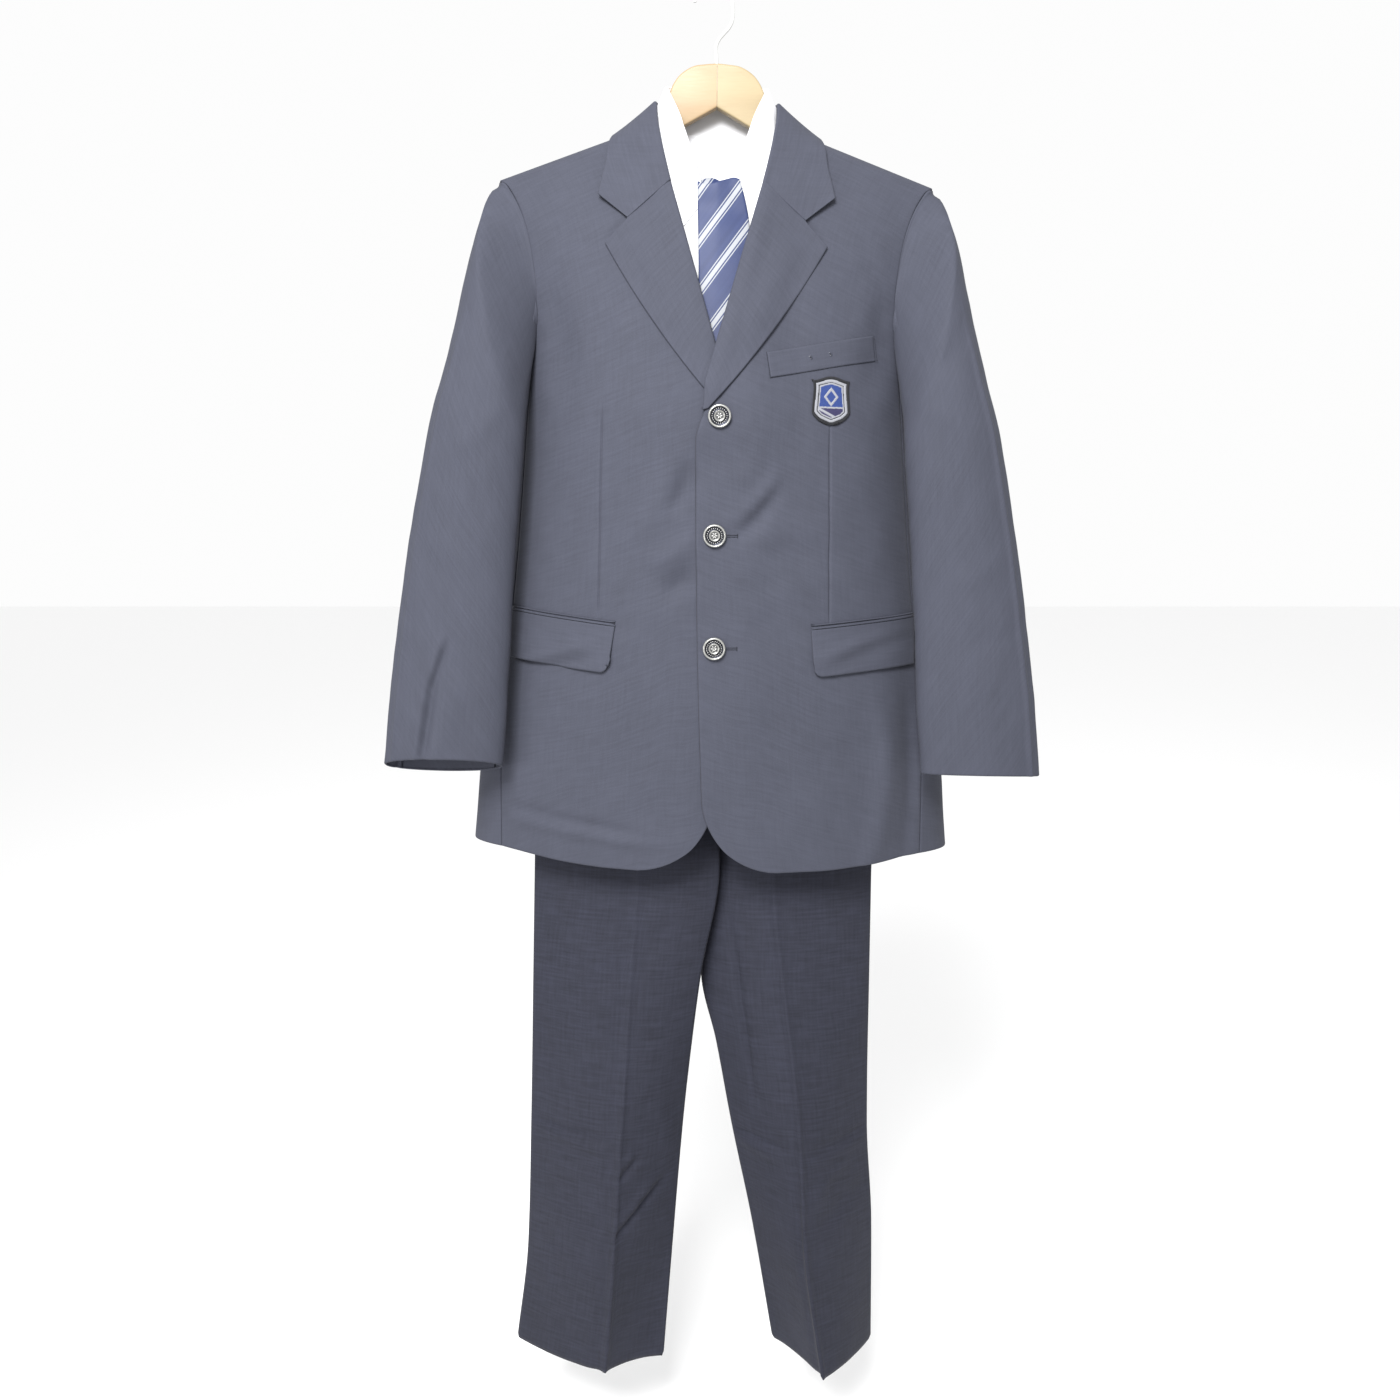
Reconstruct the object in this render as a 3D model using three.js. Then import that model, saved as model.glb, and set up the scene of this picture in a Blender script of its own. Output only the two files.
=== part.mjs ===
// A school uniform on a wooden hanger: a three-button blazer over an open-necked shirt with a
// striped tie, and creased trousers clipped up under them.
// Millimetres, +Z up, front towards -Y, the wearer's left towards +X. The origin is the inside
// of the top of the hanger's hook. Names end in _l and _r for the wearer's left and right.
//
// Garment sizes are given in a frame centred on the garment. place() then gives the small lean
// with which it all hangs.
import * as THREE from 'three';

const CENTRE_X = 4.2; // the hanger hangs a little beside the hook's crown
const LEAN = 0.0075; // sideways shift for each millimetre of height
const LEAN_ZERO_Z = -120;
const TILT = 0.018; // drop for each millimetre towards the wearer's left

const SEAM = 0.3; // space left between sewn pieces
const SUITING = 2.0; // blazer wall
const TROUSER_CLOTH = 1.5;
const SHIRTING = 1.0;
const TIE_CLOTH = 1.3;

const SHOULDER_TIP = { x: 222, z: -200 };
const NECK_POINT = { x: 80, z: -147.5 };
const NECK_RISE = 0.75; // slope of the line that the shoulder line follows inside the neck
const UNDERARM_Z = -375;
const UNDERARM_SIDE_Z = -362; // where the side panel's seams meet the armhole
const HEM_FRONT_Z = -903;
const HEM_SIDE_Z = -890;
const GORGE = { x: 47.5, z: -209 };
const NOTCH = { x: 88, z: -244.5 };
const COLLAR_TIP = { x: 118, z: -220 };
const LAPEL_TIP = { x: 110.5, z: -269.5 };
const BREAK = { x: -19, z: -438 }; // where the roll line reaches the front edge
const LAPEL_BOW = 6;
const CORNER_RADIUS = 84;
const CORNER_X = -11; // where the front edge starts to round away
const BUTTON_DIAMETER = 23;
const BUTTONS = [{ x: 4.2, z: -438 }, { x: 0.4, z: -554 }, { x: 0.9, z: -666 }];
const POCKET = { inner: 99, outer: 212, z: -641.8, rise: 0.09, jet: 5, flap: 49 };
const WELT = { inner: 50, outer: 159, z: -375, rise: 0.2, height: 25.5, slant: 4 };
const BADGE = { x: 115, z: -421, width: 43, height: 46 };
const CUFF_Z = -796;
const HANGER_THICKNESS = 12;
const WIRE = 3.6;
const TROUSER_TOP_Z = -572;
const WAISTBAND = 34;
const TROUSER_HEM_Z = -1495;
const CLIP_X = 112;

const COLOURS = {
  suiting: 0x2c303c, trousers: 0x1d1f27, shirting: 0xf2f2f5, tie: 0x26356f,
  badge: 0x1a1c28, button: 0x8b8e90, wood: 0xe3b27c, wire: 0xf4f4f4, steel: 0xb8bbc0,
};

// ---------------------------------------------------------------- small tools

const lerp = (a, b, t) => a + (b - a) * t;
const clamp = (t, low = 0, high = 1) => Math.min(high, Math.max(low, t));
const smooth = (t) => clamp(t) ** 2 * (3 - 2 * clamp(t));

// A table has named columns, and its first column runs one way. Reading it between rows gives a
// smooth curve that never overshoots a row; outside its rows it runs on straight.
function table(columns, rows) {
  const keys = rows.map((row) => row[0]);
  const readers = {};
  columns.slice(1).forEach((name, index) => {
    const values = rows.map((row) => row[index + 1]);
    const slopes = keys.slice(1).map((key, i) => (values[i + 1] - values[i]) / (key - keys[i]));
    const bends = keys.map((key, i) => {
      if (i === 0) return slopes[0];
      if (i === keys.length - 1) return slopes[i - 1];
      const [before, after] = [slopes[i - 1], slopes[i]];
      return before * after <= 0 ? 0 : (2 * before * after) / (before + after);
    });
    readers[name] = (key) => {
      const down = keys[1] < keys[0];
      let i = 0;
      while (i < keys.length - 2 && (down ? key < keys[i + 1] : key > keys[i + 1])) i += 1;
      const span = keys[i + 1] - keys[i];
      const t = (key - keys[i]) / span;
      if (t < 0) return values[0] + bends[0] * (key - keys[0]);
      if (t > 1) return values[i + 1] + bends[i + 1] * (key - keys[i + 1]);
      const [t2, t3] = [t * t, t * t * t];
      return values[i] * (2 * t3 - 3 * t2 + 1) + values[i + 1] * (3 * t2 - 2 * t3)
        + bends[i] * span * (t3 - 2 * t2 + t) + bends[i + 1] * span * (t3 - t2);
    };
  });
  return readers;
}

const steps = (count, power = 1) => Array.from({ length: count + 1 }, (_, i) => (i / count) ** power);

// The lean and tilt with which the garment hangs.
function place([x, y, z]) {
  return [x + CENTRE_X + LEAN * (z - LEAN_ZERO_Z), y, z - TILT * x];
}

const upright = (point) => point; // what hangs plumb has no lean

// A wall of cloth: at(u, v) gives its outer face, and the inner face lies one thickness behind it
// along the face's own normal. u and v are lists of stations; `ring` joins the last u to the first.
function wall(at, u, v, thickness, { flip = false, ring = false, where = place } = {}) {
  const step = 1e-4;
  const outer = [];
  const inner = [];
  for (const vv of v) {
    for (const uu of u) {
      const point = new THREE.Vector3(...at(uu, vv));
      const along = new THREE.Vector3(...at(uu + step, vv)).sub(new THREE.Vector3(...at(uu - step, vv)));
      const down = new THREE.Vector3(...at(uu, vv + step)).sub(new THREE.Vector3(...at(uu, vv - step)));
      const normal = along.cross(down).normalize().multiplyScalar(flip ? -thickness : thickness);
      outer.push(where(point.toArray()));
      inner.push(where(point.clone().sub(normal).toArray()));
    }
  }
  const [columns, rows] = [u.length, v.length];
  const shift = outer.length;
  const triangles = [];
  const quad = (a, b, c, d) => triangles.push(a, b, c, a, c, d);
  const turn = (a, b, c, d) => (flip ? quad(a, b, c, d) : quad(a, d, c, b));
  const lastColumn = ring ? columns : columns - 1;
  for (let j = 0; j < rows - 1; j += 1) {
    for (let i = 0; i < lastColumn; i += 1) {
      const k = (i + 1) % columns;
      const [a, b, c, d] = [j * columns + i, j * columns + k, (j + 1) * columns + k, (j + 1) * columns + i];
      turn(a, d, c, b);
      turn(a + shift, b + shift, c + shift, d + shift);
    }
    if (!ring) {
      const [a, b] = [j * columns, (j + 1) * columns];
      turn(a, a + shift, b + shift, b);
      const [c, d] = [a + columns - 1, b + columns - 1];
      turn(c, d, d + shift, c + shift);
    }
  }
  for (let i = 0; i < lastColumn; i += 1) {
    const k = (i + 1) % columns;
    turn(i, k, k + shift, i + shift);
    const [a, b] = [(rows - 1) * columns + i, (rows - 1) * columns + k];
    turn(a, a + shift, b + shift, b);
  }
  const geometry = new THREE.BufferGeometry();
  geometry.setAttribute('position', new THREE.Float32BufferAttribute([...outer, ...inner].flat(), 3));
  geometry.setIndex(triangles);
  geometry.computeVertexNormals();
  return geometry;
}

const garment = new THREE.Group();
garment.name = 'school_uniform';

function add(name, geometry, colour, roughness = 0.9, metalness = 0) {
  const material = new THREE.MeshStandardMaterial({ color: colour, roughness, metalness });
  const mesh = new THREE.Mesh(geometry, material);
  mesh.name = name;
  garment.add(mesh);
}

const SIDES = [{ tag: '_l', sign: 1 }, { tag: '_r', sign: -1 }];

// ---------------------------------------------------------------- the blazer's body surface

// Sections of the flattened body: half width, how far the front stands forward of the side line,
// how far the back stands behind it, the side line's own y, and how square the front is.
const BODY = table(['z', 'half', 'front', 'back', 'side', 'square'], [
  [-120, 232, 84, 26, 0, 2.2],
  [-209, 228, 81, 28, -2, 2.2],
  [-303, 214, 87, 32, -5, 2.2],
  [-375, 204, 93, 36, -5, 2.2],
  [-440, 205, 101, 38, -5, 2.2],
  [-554, 213, 103, 38, -4, 2.1],
  [-666, 229, 104, 38, -2, 2.1],
  [-800, 251, 100, 34, 1, 2.0],
  [-903, 260, 96, 30, 5, 1.9],
]);
const FRONT_ROUND = 0.625;
const FRONT_SETTLE = 75; // distance below the shoulder over which the front comes forward
const BACK_SETTLE = 60;
const SHOULDER_ROUND = 12; // half thickness of the shoulder's edge

const JACKET = { front: 0, back: 0, side: 0, top: 0 };
const SHIRT = { front: 12, back: 6, side: 11, top: 3.8 };

function shoulderZ(x) {
  const away = Math.abs(x);
  if (away < NECK_POINT.x) return NECK_POINT.z + (NECK_POINT.x - away) * NECK_RISE;
  const t = (away - NECK_POINT.x) / (SHOULDER_TIP.x - NECK_POINT.x);
  return lerp(NECK_POINT.z, SHOULDER_TIP.z, t);
}

// Depth in front of or behind the side line, `below` the shoulder line.
function depth(below, full, settle, round) {
  const t = Math.min(Math.abs(below) / round, 1);
  const edge = round * Math.sqrt(1 - (1 - t) ** 2);
  const rest = (full - round) * (1 - Math.exp(-Math.abs(below) / settle));
  return Math.sign(below) * (edge + rest);
}

function bulge(x, z, layer, square) {
  const away = clamp(Math.abs(x) / (BODY.half(z) - layer.side), 0, 1);
  return (1 - away ** square) ** FRONT_ROUND;
}

function frontY(x, z, layer = JACKET) {
  const full = (BODY.front(z) - layer.front) * bulge(x, z, layer, BODY.square(z));
  const below = shoulderZ(x) - layer.top - z;
  return BODY.side(z) - depth(below, full, FRONT_SETTLE, SHOULDER_ROUND - layer.top) - SEAM / 2;
}

function backY(x, z, layer = JACKET) {
  const full = (BODY.back(z) - layer.back) * bulge(x, z, layer, 2.6);
  const below = shoulderZ(x) - layer.top - z;
  return BODY.side(z) + depth(below, full, BACK_SETTLE, SHOULDER_ROUND - layer.top) + SEAM / 2;
}

// Round the side: turn runs from 0 at the front seam's x to 1 at the back seam's x.
function sidePoint(turn, z, xFront, xBack, layer = JACKET) {
  const half = BODY.half(z) - layer.side;
  const start = Math.asin(clamp(xFront / half) ** (BODY.square(z) / 2));
  const end = Math.PI - Math.asin(clamp(xBack / half) ** 1.3);
  const angle = lerp(start, end, turn);
  const behind = angle > Math.PI / 2;
  const x = half * Math.sin(angle) ** (behind ? 1 / 1.3 : 2 / BODY.square(z));
  return [x, behind ? backY(x, z, layer) : frontY(x, z, layer), z];
}

// ---------------------------------------------------------------- outlines shared by the pieces

// The armhole, front and back, and the seams of the side panel, as x for a height.
const ARMHOLE = table(['z', 'front', 'back'], [
  [-200, 222, 222],
  [-206, 213, 216],
  [-245, 194, 204],
  [-280, 186, 200],
  [-318, 182, 199],
  [-345, 182, 198],
  [-362, 186, 198],
]);
const SIDE_SEAMS = table(['z', 'front', 'back'], [
  [-362, 186, 198],
  [-560, 203, 207],
  [-800, 224, 226],
  [-890, 225, 228],
]);
const HEM = table(['x', 'z'], [
  [60, HEM_FRONT_Z], [110, -902.5], [160, -899], [205, -894], [226, -892], [262, HEM_SIDE_Z],
]);

const rollX = (z) => lerp(GORGE.x, BREAK.x, (z - GORGE.z) / (BREAK.z - GORGE.z));

const FRONT_EDGE = table(['z', 'x'], [
  [BREAK.z, BREAK.x], [-608, -17.5], [-724, -14.5], [HEM_FRONT_Z + CORNER_RADIUS, CORNER_X],
]);

// The front's rounded corner, from 0 on the front edge to 1 on the hem.
function corner(t) {
  const angle = lerp(Math.PI, 1.5 * Math.PI, t);
  const x = CORNER_X + CORNER_RADIUS * (1 + Math.cos(angle));
  return [x, HEM_FRONT_Z + CORNER_RADIUS * (1 + Math.sin(angle))];
}

// A panel's place between its four edges, each a function that gives x and z.
function patch(top, bottom, left, right) {
  const corners = [top(0), top(1), bottom(0), bottom(1)];
  return (u, v) => [0, 1].map((k) => (1 - v) * top(u)[k] + v * bottom(u)[k]
    + (1 - u) * left(v)[k] + u * right(v)[k]
    - (1 - u) * (1 - v) * corners[0][k] - u * (1 - v) * corners[1][k]
    - (1 - u) * v * corners[2][k] - u * v * corners[3][k]);
}

// Edges that run down a panel pass these shares of its height at the underarm and above the hem.
const AT_UNDERARM = 0.42;
const AT_CORNER = 0.88;

function armholeThenSeam(armhole, seam, v) {
  if (v < AT_UNDERARM) {
    const z = lerp(SHOULDER_TIP.z, UNDERARM_SIDE_Z, v / AT_UNDERARM);
    return [armhole(z), z];
  }
  const z = lerp(UNDERARM_SIDE_Z, HEM.z(225), (v - AT_UNDERARM) / (1 - AT_UNDERARM));
  return [seam(z), z];
}

// A polyline that passes each point at its own share of the way.
function polyline(points) {
  return (t) => {
    let i = 0;
    while (i < points.length - 2 && t > points[i + 1][0]) i += 1;
    const [from, to] = [points[i], points[i + 1]];
    const share = (t - from[0]) / (to[0] - from[0]);
    return from.slice(1).map((value, k) => lerp(value, to[k + 1], share));
  };
}

// ---------------------------------------------------------------- blazer fronts, sides and back

// The wearer's left front lies over the right one, and higher still where the right lapel is under it.
function overlapLift(sign, x, z) {
  if (sign < 0) return 0;
  const overLapel = smooth((-290 - z) / 60) * (1 - smooth((-448 - z) / 40));
  return (2.6 + 4.6 * overLapel) * (1 - smooth((x - 28) / 60));
}

function frontSurface(sign, x, z, out = 0) {
  return [sign * x, frontY(x, z) - overlapLift(sign, x, z) - out, z];
}

const shiftX = ([x, y, z], by) => [x + by, y, z];

// The covered front is cut away a little further at its lower corner.
const CORNER_IN = { 1: 0, '-1': 8 };

function frontOutline(sign) {
  const inward = CORNER_IN[sign];
  const inner = (v) => {
    if (v < 0.14) return polyline([[0, NECK_POINT.x, NECK_POINT.z], [0.14, GORGE.x, GORGE.z]])(v);
    if (v < 0.5) {
      const z = lerp(GORGE.z, BREAK.z, (v - 0.14) / 0.36);
      return [rollX(z), z];
    }
    if (v < AT_CORNER) {
      const share = (v - 0.5) / (AT_CORNER - 0.5);
      const z = lerp(BREAK.z, HEM_FRONT_Z + CORNER_RADIUS, share);
      return [FRONT_EDGE.x(z) + inward * smooth(share * 2 - 1), z];
    }
    const [x, z] = corner((0.5 * (v - AT_CORNER)) / (1 - AT_CORNER));
    return [x + inward, z];
  };
  const hem = (u) => {
    if (u < 0.15) {
      const [x, z] = corner(0.5 + (0.5 * u) / 0.15);
      return [x + inward, z];
    }
    const x = lerp(CORNER_X + CORNER_RADIUS + inward, SIDE_SEAMS.front(HEM_SIDE_Z), (u - 0.15) / 0.85);
    return [x, HEM.z(x)];
  };
  const top = (u) => {
    const x = lerp(NECK_POINT.x, SHOULDER_TIP.x, u);
    return [x, shoulderZ(x)];
  };
  const outer = (v) => armholeThenSeam(ARMHOLE.front, SIDE_SEAMS.front, v);
  return patch(top, hem, inner, outer);
}

const BODY_ROWS = [
  0, 0.006, 0.02, 0.05, 0.09, 0.14, 0.23, 0.33, AT_UNDERARM, 0.5, 0.6, 0.69, 0.78, AT_CORNER, 0.94, 1,
];
const SIDE_COLUMNS = 6;
const FRONT_COLUMNS = [0, 0.06, 0.15, 0.3, 0.48, 0.66, 0.83, 1];

function jacketFront({ tag, sign }) {
  const outline = frontOutline(sign);
  const at = (u, v) => {
    const [x, z] = outline(u, v);
    return shiftX(frontSurface(sign, x, z), (-sign * u * SEAM) / 2);
  };
  const panel = wall(at, FRONT_COLUMNS, BODY_ROWS, SUITING, { flip: sign > 0 });
  add(`jacket_front${tag}`, panel, COLOURS.suiting);
}

function underarmZ(turn) {
  return UNDERARM_SIDE_Z + (UNDERARM_Z - UNDERARM_SIDE_Z) * Math.sin(Math.PI * clamp(turn));
}

function jacketSide({ tag, sign }) {
  const at = (turn, v) => {
    const z = lerp(underarmZ(turn), HEM.z(225), v);
    const [x, y, zz] = sidePoint(turn, z, SIDE_SEAMS.front(z) + SEAM / 2, SIDE_SEAMS.back(z) + SEAM / 2);
    return [sign * x, y, zz];
  };
  const below = BODY_ROWS.filter((v) => v >= AT_UNDERARM);
  const rows = below.map((v) => (v - AT_UNDERARM) / (1 - AT_UNDERARM));
  const panel = wall(at, steps(SIDE_COLUMNS), rows, SUITING, { flip: sign > 0 });
  add(`jacket_side${tag}`, panel, COLOURS.suiting);
}

const BACK_NECK_Z = -158;

function backOutline(v0 = 0) {
  const top = (u) => {
    const x = SHOULDER_TIP.x * u;
    if (x > NECK_POINT.x) return [x, shoulderZ(x)];
    const t = x / NECK_POINT.x;
    return [x, lerp(BACK_NECK_Z, NECK_POINT.z, t * t) + v0];
  };
  const hem = (u) => {
    const x = SIDE_SEAMS.back(HEM_SIDE_Z) * u;
    return [x, lerp(HEM_SIDE_Z - 4, HEM_SIDE_Z - 2, u)];
  };
  const centre = (v) => [0, lerp(BACK_NECK_Z, HEM_SIDE_Z - 4, v)];
  const outer = (v) => armholeThenSeam(ARMHOLE.back, SIDE_SEAMS.back, v);
  return patch(top, hem, centre, outer);
}

function jacketBack({ tag, sign }) {
  const outline = backOutline();
  const at = (u, v) => {
    const [x, z] = outline(u, v);
    return shiftX([sign * x, backY(x, z), z], (sign * (1 - 2 * u) * SEAM) / 2);
  };
  const neck = NECK_POINT.x / SHOULDER_TIP.x;
  const columns = [0, neck * 0.5, neck * 0.75, neck * 0.9, neck, 0.55, 0.75, 1];
  add(`jacket_back${tag}`, wall(at, columns, BODY_ROWS, SUITING, { flip: sign < 0 }), COLOURS.suiting);
}

// ---------------------------------------------------------------- sleeves

const SLEEVE = table(['z', 'outer', 'inner', 'y', 'deep'], [
  [-200, 228, 200, -8, 14],
  [-225, 236, 192, -20, 22],
  [-270, 242, 184, -35, 30],
  [-320, 255, 182, -47, 32],
  [-390, 271, 187, -60, 31],
  [-450, 287, 190, -67, 29],
  [-540, 304, 198, -71, 27],
  [-630, 319, 205, -73, 26],
  [-705, 329, 209, -75, 25],
  [CUFF_Z, 339, 216, -78, 23],
]);
const ARMHOLE_FRONT_END = 0.42; // share of the way round the armhole, from the shoulder tip forwards
const ARMHOLE_BACK_START = 0.58;
const CUFF_DROP = { 1: 3, '-1': 10 }; // how far the cuff's back edge hangs below its middle
const HEAD_RISE = 2.6; // the sleeve's head stands this far out from the shoulder seam
const UNDERARM_CLEAR = 3.1;
const UNDERARM_FULLNESS = 16; // how far the underarm swings out round the body's side

// Which way round its rings each part of the armhole's edge hangs, in turns.
const HANG = polyline([
  [-0.42, -0.35], [-0.25, -0.21], [0, 0], [0.25, 0.25], [0.46, 0.5], [0.58, 0.65], [0.75, 0.79], [1, 1],
]);

function armholePoint(t, layer) {
  const inset = layer.side * 0.8;
  const way = t - Math.floor(t);
  const top = SHOULDER_TIP.z - layer.top;
  if (way < ARMHOLE_FRONT_END || way > ARMHOLE_BACK_START) {
    const front = way < ARMHOLE_FRONT_END;
    const share = front ? way / ARMHOLE_FRONT_END : (1 - way) / (1 - ARMHOLE_BACK_START);
    const z = lerp(top, UNDERARM_SIDE_Z, share);
    const x = (front ? ARMHOLE.front(z) : ARMHOLE.back(z)) - inset;
    return [x, front ? frontY(x, z, layer) : backY(x, z, layer), z];
  }
  const turn = (way - ARMHOLE_FRONT_END) / (ARMHOLE_BACK_START - ARMHOLE_FRONT_END);
  const [front, back] = [ARMHOLE.front(UNDERARM_SIDE_Z), ARMHOLE.back(UNDERARM_SIDE_Z)];
  return sidePoint(turn, underarmZ(turn), front - inset, back - inset, layer);
}

// A sleeve runs from the armhole into flattened rings: t goes round it, s goes down it.
function sleevePoint(t, s, sign) {
  const [startX, startY, startZ] = armholePoint(t, JACKET);
  const hang = 2 * Math.PI * HANG(t);
  const z = lerp(startZ, CUFF_Z + CUFF_DROP[sign] * Math.sin(hang), s);
  const middle = (SLEEVE.outer(z) + SLEEVE.inner(z)) / 2;
  const half = (SLEEVE.outer(z) - SLEEVE.inner(z)) / 2;
  const blend = smooth(s / (0.1 + 0.06 * (1 - Math.cos(hang))));
  const start = startX + SEAM * 1.5 + HEAD_RISE * Math.max(0, Math.cos(2 * Math.PI * t)) ** 2
    + UNDERARM_CLEAR * Math.max(0, -Math.cos(2 * Math.PI * t)) ** 4;
  const swing = UNDERARM_FULLNESS * Math.sin(Math.PI * clamp((t - 0.44) / 0.31)) * 4 * blend * (1 - blend);
  const x = lerp(start, middle + half * Math.cos(hang), blend) + swing;
  const y = lerp(startY, SLEEVE.y(z) - SLEEVE.deep(z) * Math.sin(hang), blend);
  return [sign * x, y, z];
}

const SLEEVE_ROWS = [0, 0.015, 0.04, 0.07, 0.1, 0.15, 0.24, 0.45, 0.72, 1];
// The same stations as the panels' edges, so that sleeve and body meet along one line.
const FRONT_STATIONS = BODY_ROWS.filter((v) => v <= AT_UNDERARM);
const BACK_STATIONS = FRONT_STATIONS.map((v) => -v).reverse();
const SIDE_STATIONS = steps(SIDE_COLUMNS).slice(1)
  .map((turn) => lerp(ARMHOLE_FRONT_END, ARMHOLE_BACK_START, turn));
const SLEEVE_STATIONS = [...BACK_STATIONS.slice(0, -1), ...FRONT_STATIONS, ...SIDE_STATIONS];

function jacketSleeve({ tag, sign }) {
  const [backSeam, frontSeam] = [BACK_STATIONS[3], SIDE_STATIONS[3]];
  const gap = 0.0015;
  const pieces = {
    upper: SLEEVE_STATIONS.filter((t) => t >= backSeam && t <= frontSeam),
    under: [...SIDE_STATIONS.slice(3, -1), ...BACK_STATIONS.slice(0, 4).map((t) => t + 1)],
  };
  Object.entries(pieces).forEach(([piece, stations]) => {
    const [first, last] = [stations[0], stations[stations.length - 1]];
    const at = (t, s) => {
      const trim = gap * (1 + 7 * (1 - smooth(s / 0.14)));
      return sleevePoint(lerp(first + trim, last - trim, (t - first) / (last - first)), s, sign);
    };
    const cloth = wall(at, stations, SLEEVE_ROWS, SUITING, { flip: sign < 0 });
    add(`jacket_sleeve_${piece}${tag}`, cloth, COLOURS.suiting);
  });
}

// ---------------------------------------------------------------- lapels and collar

const LAPEL_LIFT = 3.4; // outer face of a lapel above the front that it lies on

function lapel({ tag, sign }) {
  const top = polyline([[0, GORGE.x, GORGE.z], [0.62, NOTCH.x, NOTCH.z], [1, LAPEL_TIP.x, LAPEL_TIP.z]]);
  const roll = (v) => [lerp(GORGE.x, BREAK.x, v), lerp(GORGE.z, BREAK.z, v)];
  const end = [BREAK.x + 4, BREAK.z + 1.5];
  const edge = (v) => {
    const bow = LAPEL_BOW * 4 * v * (1 - v);
    return [lerp(LAPEL_TIP.x, end[0], v) + bow * 0.8, lerp(LAPEL_TIP.z, end[1], v) - bow * 0.6];
  };
  const bottom = (u) => [lerp(BREAK.x, end[0], u), lerp(BREAK.z, end[1], u)];
  const outline = patch(top, bottom, roll, edge);
  const at = (u, v) => {
    const [x, z] = outline(u, v);
    return frontSurface(sign, x, z - SEAM * (1 - v), LAPEL_LIFT);
  };
  const geometry = wall(at, [0, 0.3, 0.62, 0.85, 1], steps(9), SUITING, { flip: sign > 0 });
  add(`lapel${tag}`, geometry, COLOURS.suiting);
}

// Stations round the neck, from the middle of the back to the front end: the stand rises from the
// neckline to the fold, and the fall comes down from the fold over a middle line to its edge.
const JACKET_FALL = [
  // station, fold x y z, middle x y z, edge x y z
  [0, 0, 28, -121.5, 0, 30, -146, 0, 31, -171],
  [1, 38, 24, -120.5, 49, 25, -142, 60, 24.5, -165],
  [1.6, 57, 13.5, -119.8, 75.5, 16.5, -137, 93, 17, -157],
  [2, 64.3, 0, -119.5, 84, 0, -136.5, 104, 0, -153],
  [2.5, 62.5, -21, -137, 84.5, -23, -151, 109, -24, -164],
  [3, 58, -43, -163.5, 82, -43, -180, 111.5, -38, -187],
  [3.5, 53, -56, -186, 86, -56.5, -212, 115, -45.5, -204],
  [4, GORGE.x + 0.3, -65, GORGE.z + 0.8, NOTCH.x, -68, NOTCH.z + 0.5, COLLAR_TIP.x, -52.5, COLLAR_TIP.z],
];
const JACKET_STAND = [
  // station, fold x y z, neckline x y z
  [0, 0, 25, -122.5, 0, 22.3, -157.2],
  [1, 36, 21.5, -121.5, 45, 18.6, -153.5],
  [1.6, 54.5, 12.4, -121, 68, 14, -149],
  [2, 62, 0, -121, 79, 0, -145.6],
  [2.5, 60.5, -18.7, -139, 72, -27, -159.2],
  [3, 56, -38.5, -164.5, 64, -41.5, -174.8],
  [4, GORGE.x - 2.2, -59, GORGE.z + 3.5, GORGE.x - 1.2, -60, GORGE.z],
];
const SHIRT_FALL = [
  [0, 0, 20.8, -104, 0, 21.6, -124, 0, 21.2, -143],
  [1, 33, 17.2, -104, 36.5, 17.5, -123, 41, 17, -141],
  [1.6, 45.5, 8, -104.5, 50.2, 8, -118, 55.8, 8.4, -130],
  [2, 53, 0, -105.5, 58.2, 0, -118, 63.9, 0, -129.5],
  [2.5, 48.4, -18.4, -117, 55.3, -16.8, -131, 61.2, -15.6, -146],
  [3, 36, -38, -146, 50, -40.5, -168, 66, -42, -190],
  [3.5, 28.5, -50, -178, 47, -55, -210, 69, -61, -245],
  [4, 18.5, -61.5, -212, 44, -68, -252, 72, -73.5, -300],
];
const SHIRT_STAND = [
  [0, 0, 19.4, -105.5, 0, 15.4, -148.4],
  [1, 31.5, 15.8, -105.5, 40.5, 12.4, -146],
  [1.6, 44, 6.6, -106, 58.5, 6.6, -142.5],
  [2, 50.2, 0, -107.5, 67.2, 0, -141.4],
  [2.5, 45.5, -17, -119.5, 60, -20, -155.5],
  [3, 34, -36.5, -148.5, 46.5, -40.6, -182.5],
  [4, 15.5, -58, -210, 16.8, -59.2, -213.8],
];

// The same stations on both sides of the neck, with x turned over on the right.
function roundNeck(rows) {
  const turnOver = (row) => row.map((value, i) => (i % 3 === 1 || i === 0 ? -value : value));
  const turned = rows.slice(1).reverse().map(turnOver);
  const names = rows[0].map((_, i) => `c${i}`);
  return table(names, [...turned, ...rows]);
}

function neckBand(name, rows, thickness, colour, across) {
  const band = roundNeck(rows);
  const lines = (rows[0].length - 1) / 3;
  const at = (u, v) => {
    const line = Math.min(Math.floor(clamp(v, 0, 0.9999) * (lines - 1)), lines - 2);
    const share = v * (lines - 1) - line;
    return [1, 2, 3].map((k) => lerp(band[`c${line * 3 + k}`](u), band[`c${line * 3 + 3 + k}`](u), share));
  };
  const half = [0, 0.5, 1, 1.3, 1.6, 1.8, 2, 2.25, 2.5, 2.75, 3, 3.5, 4];
  const stations = [...half.slice(1).reverse().map((t) => -t), ...half];
  add(name, wall(at, stations, across, thickness, { flip: false }), colour);
}

// ---------------------------------------------------------------- pockets, badge and buttons

const ON_PANEL = 0.8; // space between a panel and what lies on it

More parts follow.
